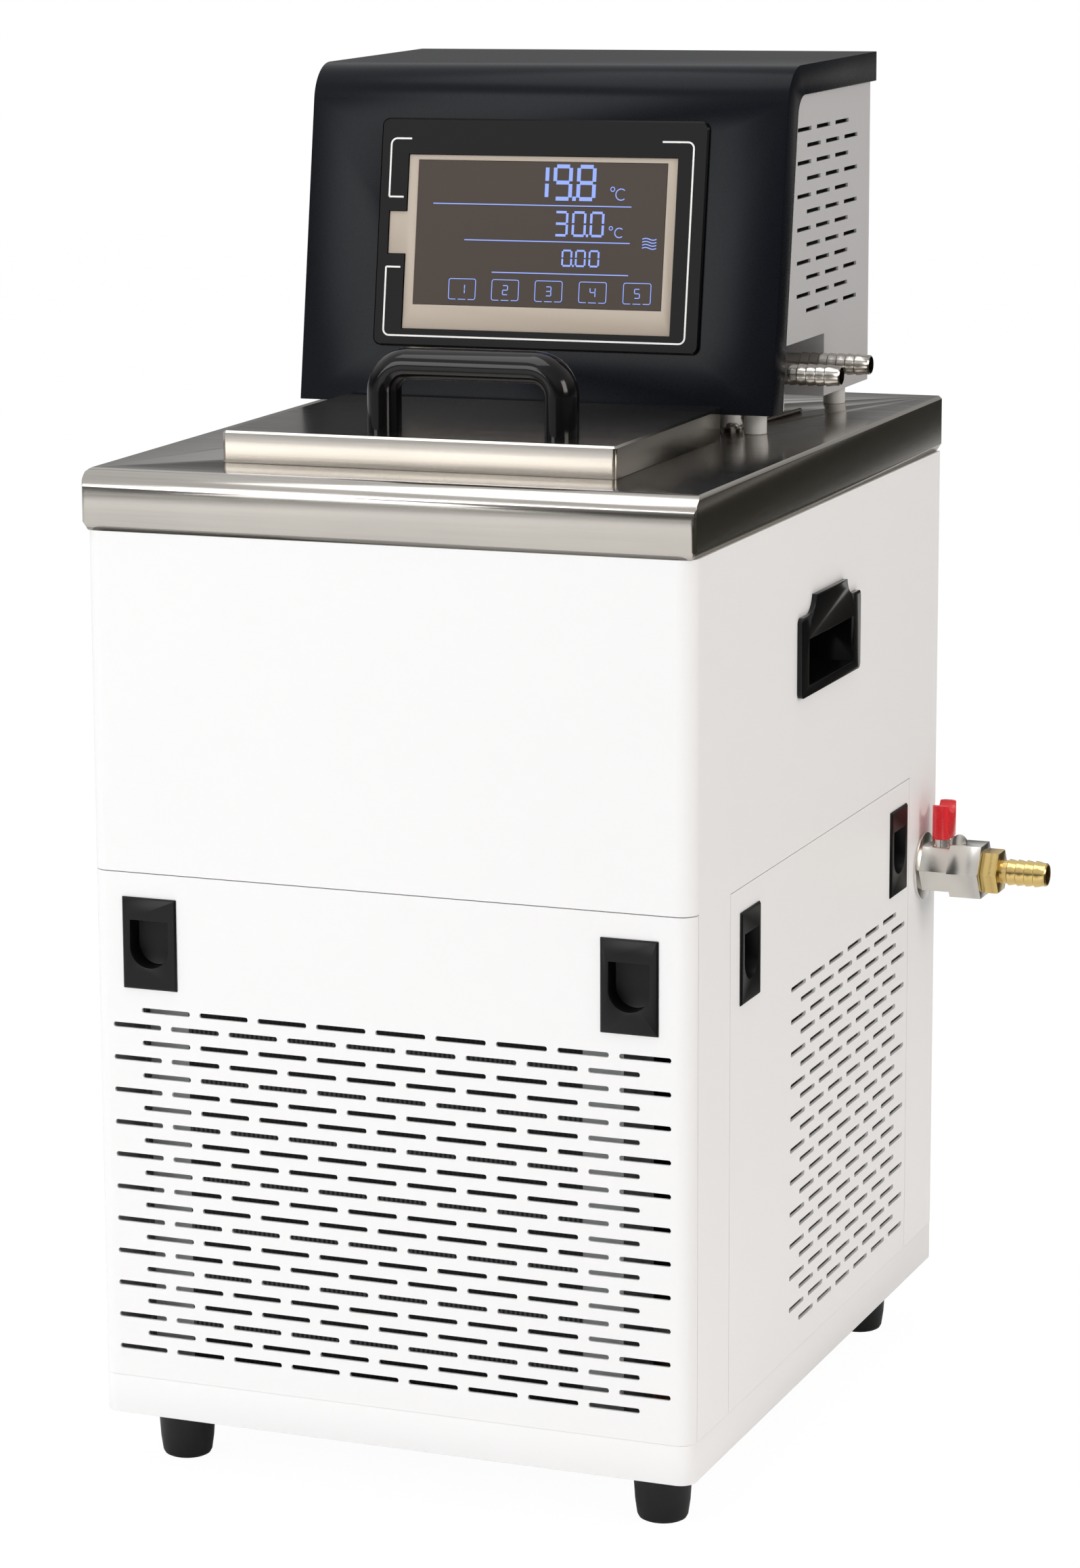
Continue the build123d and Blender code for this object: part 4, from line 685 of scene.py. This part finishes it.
print("lid handle:", len(rings), "rings")

# %% [markdown]
# The display lies on the hood's leaning front, so its marks are drawn in the display's own measure: across,
# and up the slope from the hood's foot. Every mark is a thin bar between two such points.

# %% Drawing on the slope
hood_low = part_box("head_hood")[0]
LEAN = math.radians(8.42)
HOOD_FRONT = -0.5 * MM
HOOD_FOOT = Vector((0, HOOD_FRONT, hood_low.z))
UP_SLOPE = Vector((0, math.sin(LEAN), math.cos(LEAN)))
OUTWARD = Vector((0, -math.cos(LEAN), math.sin(LEAN)))
GLASS_LIFT = 1.05 * MM
BEZEL_LIFT = 2.02 * MM
MARK_THICK = 0.12 * MM


def on_slope(across, up_slope, lift):
    """A point on the leaning front, in metres."""
    return HOOD_FOOT + Vector((across * MM, 0, 0)) + UP_SLOPE * up_slope * MM + OUTWARD * lift


def bar(mesh, start, end, width, lift):
    """A thin bar between two points (across, up) of the slope, in millimetres."""
    first = on_slope(*start, lift)
    second = on_slope(*end, lift)
    along = (second - first).normalized()
    half = along.cross(OUTWARD) * width * MM / 2
    corners = [first + half, second + half, second - half, first - half]
    verts = [mesh.verts.new(corner) for corner in corners]
    face = mesh.faces.new(verts)
    raised = bmesh.ops.extrude_face_region(mesh, geom=[face])
    tops = [item for item in raised["geom"] if isinstance(item, bmesh.types.BMVert)]
    bmesh.ops.translate(mesh, verts=tops, vec=OUTWARD * MARK_THICK)


def line(mesh, points, width, lift):
    """Bars along a chain of points."""
    for start, end in zip(points, points[1:]):
        bar(mesh, start, end, width, lift)


def arc_points(centre, radius, start, end, steps):
    """Points of an arc, angles in degrees."""
    return [
        (centre[0] + radius * math.cos(math.radians(start + (end - start) * k / steps)),
         centre[1] + radius * math.sin(math.radians(start + (end - start) * k / steps)))
        for k in range(steps + 1)
    ]


# %% [markdown]
# A figure is made of up to seven bars, as on a real segment display. The letters name the bars from the top
# clockwise, with g across the middle, and the ends of each bar stop a little short of its neighbours.

# %% Figures
BAR_GAP = 0.35
FIGURE_PITCH = 1.52
DOT_SHIFT = 1.15
DOT_RISE = 0.6
SEGMENTS = {
    "0": "abcdef", "1": "bc", "2": "abged", "3": "abgcd", "4": "fgbc", "5": "afgcd",
    "6": "afgedc", "7": "abc", "8": "abcdefg", "9": "abcdfg",
}


def digit(mesh, figure, left, foot, width, height, stroke):
    """One seven-segment figure, its bars parted by small gaps."""
    gap = stroke * BAR_GAP
    half = height / 2
    ends = {
        "a": ((gap, height), (width - gap, height)),
        "g": ((gap, half), (width - gap, half)),
        "d": ((gap, 0), (width - gap, 0)),
        "f": ((0, half + gap), (0, height - gap)),
        "b": ((width, half + gap), (width, height - gap)),
        "e": ((0, gap), (0, half - gap)),
        "c": ((width, gap), (width, half - gap)),
    }
    for key in SEGMENTS[figure]:
        (x0, y0), (x1, y1) = ends[key]
        bar(mesh, (left + x0, foot + y0), (left + x1, foot + y1), stroke, GLASS_LIFT)


def number(mesh, text, left, foot, width, height, stroke):
    """A number with an optional decimal point, from its left edge."""
    pitch = width * FIGURE_PITCH
    place = left
    for figure in text:
        if figure == ".":
            dot = place - pitch + width + stroke * DOT_SHIFT
            bar(mesh, (dot, foot - stroke / 2), (dot, foot + stroke * DOT_RISE), stroke, GLASS_LIFT)
        else:
            digit(mesh, figure, place, foot, width, height, stroke)
            place += pitch


# %% [markdown]
# The screen has three rows. Each has a number and a line under it, and the upper two have a degree ring and
# an open round letter, which are arcs. Four small waves stand to the right. Every measure is in millimetres.

# %% Rows of the screen
LINE_WIDTH = 0.5
READINGS = (
    ("19.8", -5.0, 101.6, 8.0, 15.6, 1.9),
    ("30.0", 8.2, 83.9, 6.1, 11.2, 1.2),
    ("0.00", 12.8, 69.2, 4.6, 7.4, 0.9),
)
UNDERLINES = ((-56.0, 98.2), (-38.8, 80.7), (-23.6, 65.2))
UNDERLINE_END = 47.0
UNITS = ((101.2, 1.0), (83.2, 0.85))
RING_PLACE = (37.0, 5.4)
RING_RADIUS = 1.05
RING_WIDTH = 0.42
RING_STEPS = 12
LETTER_PLACE = (41.4, 2.9)
LETTER_RADIUS = 2.7
LETTER_OPENING = 48
LETTER_STEPS = 14
marks = bmesh.new()
for reading in READINGS:
    number(marks, *reading)
for left, up_slope in UNDERLINES:
    bar(marks, (left, up_slope), (UNDERLINE_END, up_slope), LINE_WIDTH, GLASS_LIFT)
for foot, scale in UNITS:
    ring_centre = (RING_PLACE[0], foot + RING_PLACE[1] * scale)
    ring = arc_points(ring_centre, RING_RADIUS * scale, 0, 360, RING_STEPS)
    line(marks, ring, RING_WIDTH, GLASS_LIFT)
    letter_centre = (LETTER_PLACE[0], foot + LETTER_PLACE[1] * scale)
    letter = arc_points(letter_centre, LETTER_RADIUS * scale, LETTER_OPENING, 360 - LETTER_OPENING,
                        LETTER_STEPS)
    line(marks, letter, LINE_WIDTH, GLASS_LIFT)
WAVE_ROWS = 4
WAVE_STEPS = 12
WAVE_PLACE = (53.4, 78.6)
WAVE_LENGTH = 7.2
WAVE_PITCH = 1.45
WAVE_SWING = 0.42
for row in range(WAVE_ROWS):
    wave = []
    for step in range(WAVE_STEPS + 1):
        swing = WAVE_SWING * math.sin(2 * math.pi * step / WAVE_STEPS)
        across = WAVE_PLACE[0] + WAVE_LENGTH * step / WAVE_STEPS
        wave.append((across, WAVE_PLACE[1] + row * WAVE_PITCH + swing))
    line(marks, wave, LINE_WIDTH, GLASS_LIFT)
print("screen rows:", len(READINGS))

# %% [markdown]
# Below the rows stand five touch keys. Each is a thin outline with round corners, broken at its foot for a
# short bar of its own, and holds its figure.

# %% Touch keys
KEYS = (-38.8, -16.2, 6.4, 29.2, 52.0)
KEY_HALF = 7.0
KEY_FOOT = 51.6
KEY_HEAD = 61.6
KEY_ROUND = 1
KEY_STEPS = 4
KEY_BREAK = 3.2
KEY_BAR = 2.0
KEY_WIDTH = 0.38
KEY_FIGURE_RISE = 2.8
KEY_FIGURE_WIDTH = 2.6
KEY_FIGURE_HEIGHT = 4.4
KEY_FIGURE_STROKE = 0.45
for count, centre in enumerate(KEYS):
    left = centre - KEY_HALF
    right_edge = centre + KEY_HALF
    outline = (
        [(centre - KEY_BREAK, KEY_FOOT), (left + KEY_ROUND, KEY_FOOT)]
        + arc_points((left + KEY_ROUND, KEY_FOOT + KEY_ROUND), KEY_ROUND, 270, 180, KEY_STEPS)
        + arc_points((left + KEY_ROUND, KEY_HEAD - KEY_ROUND), KEY_ROUND, 180, 90, KEY_STEPS)
        + arc_points((right_edge - KEY_ROUND, KEY_HEAD - KEY_ROUND), KEY_ROUND, 90, 0, KEY_STEPS)
        + arc_points((right_edge - KEY_ROUND, KEY_FOOT + KEY_ROUND), KEY_ROUND, 0, -90, KEY_STEPS)
        + [(centre + KEY_BREAK, KEY_FOOT)]
    )
    line(marks, outline, KEY_WIDTH, GLASS_LIFT)
    bar(marks, (centre - KEY_BAR, KEY_FOOT), (centre + KEY_BAR, KEY_FOOT), KEY_WIDTH, GLASS_LIFT)
    digit(marks, str(count + 1), centre - KEY_FIGURE_WIDTH / 2, KEY_FOOT + KEY_FIGURE_RISE,
          KEY_FIGURE_WIDTH, KEY_FIGURE_HEIGHT, KEY_FIGURE_STROKE)
print("display marks:", len(marks.faces), "faces")

# %% [markdown]
# The marks glow faintly in blue, as a lit display does in a bright room. The glow is an emission on top of a
# dark blue base, so that they still show where no light falls.

# %% Lit marks
LIT_COLOR = (0.25, 0.37, 1.0, 1)
LIT_STRENGTH = 0.85
glow = bpy.data.materials.new("lit_segments")
glow.use_nodes = True
shader = glow.node_tree.nodes["Principled BSDF"]
shader.inputs["Base Color"].default_value = (0.03, 0.05, 0.12, 1)
shader.inputs["Emission Color"].default_value = LIT_COLOR
shader.inputs["Emission Strength"].default_value = LIT_STRENGTH
shader.inputs["Roughness"].default_value = 0.3
piece("display_figures", marks, glow)
print("lit marks:", glow.name)

# %% [markdown]
# A fine white line runs round the bezel, just inside its edge, and is open at the top and at the left. It
# is printed on the bezel, so it lies nearly flat on it.

# %% Bezel outline
OUTLINE_LEFT = -79.2
OUTLINE_RIGHT = 77.6
OUTLINE_FOOT = 33.0
OUTLINE_HEAD = 129.6
OUTLINE_BEND = 3.0
OUTLINE_STEPS = 6
OUTLINE_WIDTH = 0.85
TOP_ENDS = (-68.5, 61.6)
STUB_END = -71.6
STUB_HEIGHTS = (66.6, 101.0)
bend_left = OUTLINE_LEFT + OUTLINE_BEND
bend_right = OUTLINE_RIGHT - OUTLINE_BEND
bend_foot = OUTLINE_FOOT + OUTLINE_BEND
bend_head = OUTLINE_HEAD - OUTLINE_BEND
frame_line = bmesh.new()
upper = [(TOP_ENDS[0], OUTLINE_HEAD), (bend_left, OUTLINE_HEAD)]
upper += arc_points((bend_left, bend_head), OUTLINE_BEND, 90, 180, OUTLINE_STEPS)
upper += [(OUTLINE_LEFT, STUB_HEIGHTS[1]), (STUB_END, STUB_HEIGHTS[1])]
line(frame_line, upper, OUTLINE_WIDTH, BEZEL_LIFT)
lower = [(STUB_END, STUB_HEIGHTS[0]), (OUTLINE_LEFT, STUB_HEIGHTS[0]), (OUTLINE_LEFT, bend_foot)]
lower += arc_points((bend_left, bend_foot), OUTLINE_BEND, 180, 270, OUTLINE_STEPS)
lower += arc_points((bend_right, bend_foot), OUTLINE_BEND, 270, 360, OUTLINE_STEPS)
lower += arc_points((bend_right, bend_head), OUTLINE_BEND, 0, 90, OUTLINE_STEPS)
lower.append((TOP_ENDS[1], OUTLINE_HEAD))
line(frame_line, lower, OUTLINE_WIDTH, BEZEL_LIFT)
piece("bezel_outline", frame_line, finishes["white_plastic"])
repaint("display_bezel", bezel_gloss)
print("bezel outline:", len(upper) + len(lower), "points")

# %% [markdown]
# Small screws hold the rear panel and the wire's eye. A pan head is a spun dome. Its recess for the driver
# is left out, because it would hardly show.


# %% Screws
HEAD_STEPS = 24


def pan_head(place, axis, radius, height):
    """A domed screw head that stands on a surface."""
    profile = [
        (0, height),
        (radius * 0.5, height * 0.93),
        (radius * 0.85, height * 0.6),
        (radius, height * 0.2),
        (radius, 0),
        (0, 0),
    ]
    return turned(profile, place, axis, HEAD_STEPS)


PANEL_SCREW = (3.4 * MM, 2.0 * MM)
PANEL_SCREWS = 4
SCREW_INSET = 6 * MM
rear_low, rear_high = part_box("rear_panel")
screws = bmesh.new()
screw_run = rear_high.z - rear_low.z - 2 * SCREW_INSET
for x in (rear_low.x + SCREW_INSET, rear_high.x - SCREW_INSET):
    for step in range(PANEL_SCREWS):
        z = rear_low.z + SCREW_INSET + step * screw_run / (PANEL_SCREWS - 1)
        merge(screws, pan_head((x, rear_high.y, z), (0, 1, 0), *PANEL_SCREW))
piece("rear_panel_screws", screws, finishes["nickel"])

EYE_SCREW = (3.6 * MM, 2.4 * MM)
EYE_INSET = 5 * MM
SHANK_RADIUS = 2.4 * MM
SHANK_LENGTH = 2 * MM
wire_low, wire_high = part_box("deck_wire")
eye_place = (wire_low.x + EYE_INSET, wire_low.y + EYE_INSET, wire_low.z)
eye_screw = pan_head((eye_place[0], eye_place[1], wire_high.z), (0, 0, 1), *EYE_SCREW)
shank_profile = [(0, 0), (SHANK_RADIUS, 0), (SHANK_RADIUS, SHANK_LENGTH), (0, SHANK_LENGTH)]
merge(eye_screw, turned(shank_profile, eye_place, (0, 0, 1), HEAD_STEPS))
piece("wire_eye_screw", eye_screw, finishes["nickel"])
print("screws:", 2 * PANEL_SCREWS, "in the rear panel, 1 in the eye")

# %% [markdown]
# Behind the wire's eye one more white bush stands under the head. It is a plain turned cylinder, as high
# as the posts, and its place is judged.

# %% Bush
post_low, post_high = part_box("head_posts")
BUSH_PLACE = (86 * MM, 46 * MM)
BUSH_RADIUS = 5.5 * MM
BUSH_STEPS = 32
bush_height = post_high.z - post_low.z
bush_profile = [(0, 0), (BUSH_RADIUS, 0), (BUSH_RADIUS, bush_height), (0, bush_height)]
bush = turned(bush_profile, (*BUSH_PLACE, post_low.z), (0, 0, 1), BUSH_STEPS)
piece("cable_bush", bush, finishes["white_plastic"])
print("bush:", round(bush_height / MM, 1), "mm high")

# %% [markdown]
# Behind the front slots stands the condenser: hundreds of thin aluminium fins with tubes through them. At
# this distance only their rhythm shows, so the fins are fine upright stripes painted into the colour, and
# the tube rows are lighter bands, one for every third row of slots. The colour is painted shade: the
# aluminium is drawn nearly black, as the shade behind the grille, darkest in the gaps between the fins and
# away from the tube rows.

# %% Condenser colour with painted shade
FIN_PITCH = 2.4 * MM
TUBE_PITCH = 24 * MM
TUBE_HALF = 3.0 * MM
TUBE_FADE = 4.5 * MM
# painted shade: the two fin colours below are the aluminium darkened to the shade behind the grille, the
# darker one the shade in the gaps between fins, and away from the tube rows the stripes stay close to it
FINS_ALONE = 0.12
FIN_GAP_SHADE = (0.004, 0.004, 0.006, 1)
FIN_IN_SHADE = (0.16, 0.16, 0.17, 1)
fins = bpy.data.materials.new("condenser_fins_painted_shade")
fins.use_nodes = True
tree = fins.node_tree
shader = tree.nodes["Principled BSDF"]
place = tree.nodes.new("ShaderNodeTexCoord")
split = tree.nodes.new("ShaderNodeSeparateXYZ")
stripe = tree.nodes.new("ShaderNodeMath")
stripe.operation = "PINGPONG"
stripe.inputs[1].default_value = FIN_PITCH / 2
stripe_level = tree.nodes.new("ShaderNodeMapRange")
stripe_level.inputs["From Max"].default_value = FIN_PITCH / 2
tube = tree.nodes.new("ShaderNodeMath")
tube.operation = "PINGPONG"
tube.inputs[1].default_value = TUBE_PITCH / 2
tube_level = tree.nodes.new("ShaderNodeMapRange")
tube_level.inputs["From Min"].default_value = TUBE_HALF
tube_level.inputs["From Max"].default_value = TUBE_FADE
tube_level.inputs["To Min"].default_value = 1.0
tube_level.inputs["To Max"].default_value = FINS_ALONE
product = tree.nodes.new("ShaderNodeMath")
product.operation = "MULTIPLY"
ramp = tree.nodes.new("ShaderNodeMix")
ramp.data_type = "RGBA"
ramp.inputs["A"].default_value = FIN_GAP_SHADE
ramp.inputs["B"].default_value = FIN_IN_SHADE
tree.links.new(place.outputs["Object"], split.inputs[0])
tree.links.new(split.outputs["X"], stripe.inputs[0])
tree.links.new(stripe.outputs[0], stripe_level.inputs["Value"])
tree.links.new(split.outputs["Z"], tube.inputs[0])
tree.links.new(tube.outputs[0], tube_level.inputs["Value"])
tree.links.new(stripe_level.outputs["Result"], product.inputs[0])
tree.links.new(tube_level.outputs["Result"], product.inputs[1])
tree.links.new(product.outputs[0], ramp.inputs["Factor"])
tree.links.new(ramp.outputs["Result"], shader.inputs["Base Color"])
shader.inputs["Roughness"].default_value = 0.55
repaint("condenser_core", fins)
print("condenser: a fin every", round(FIN_PITCH / MM, 1), "mm")
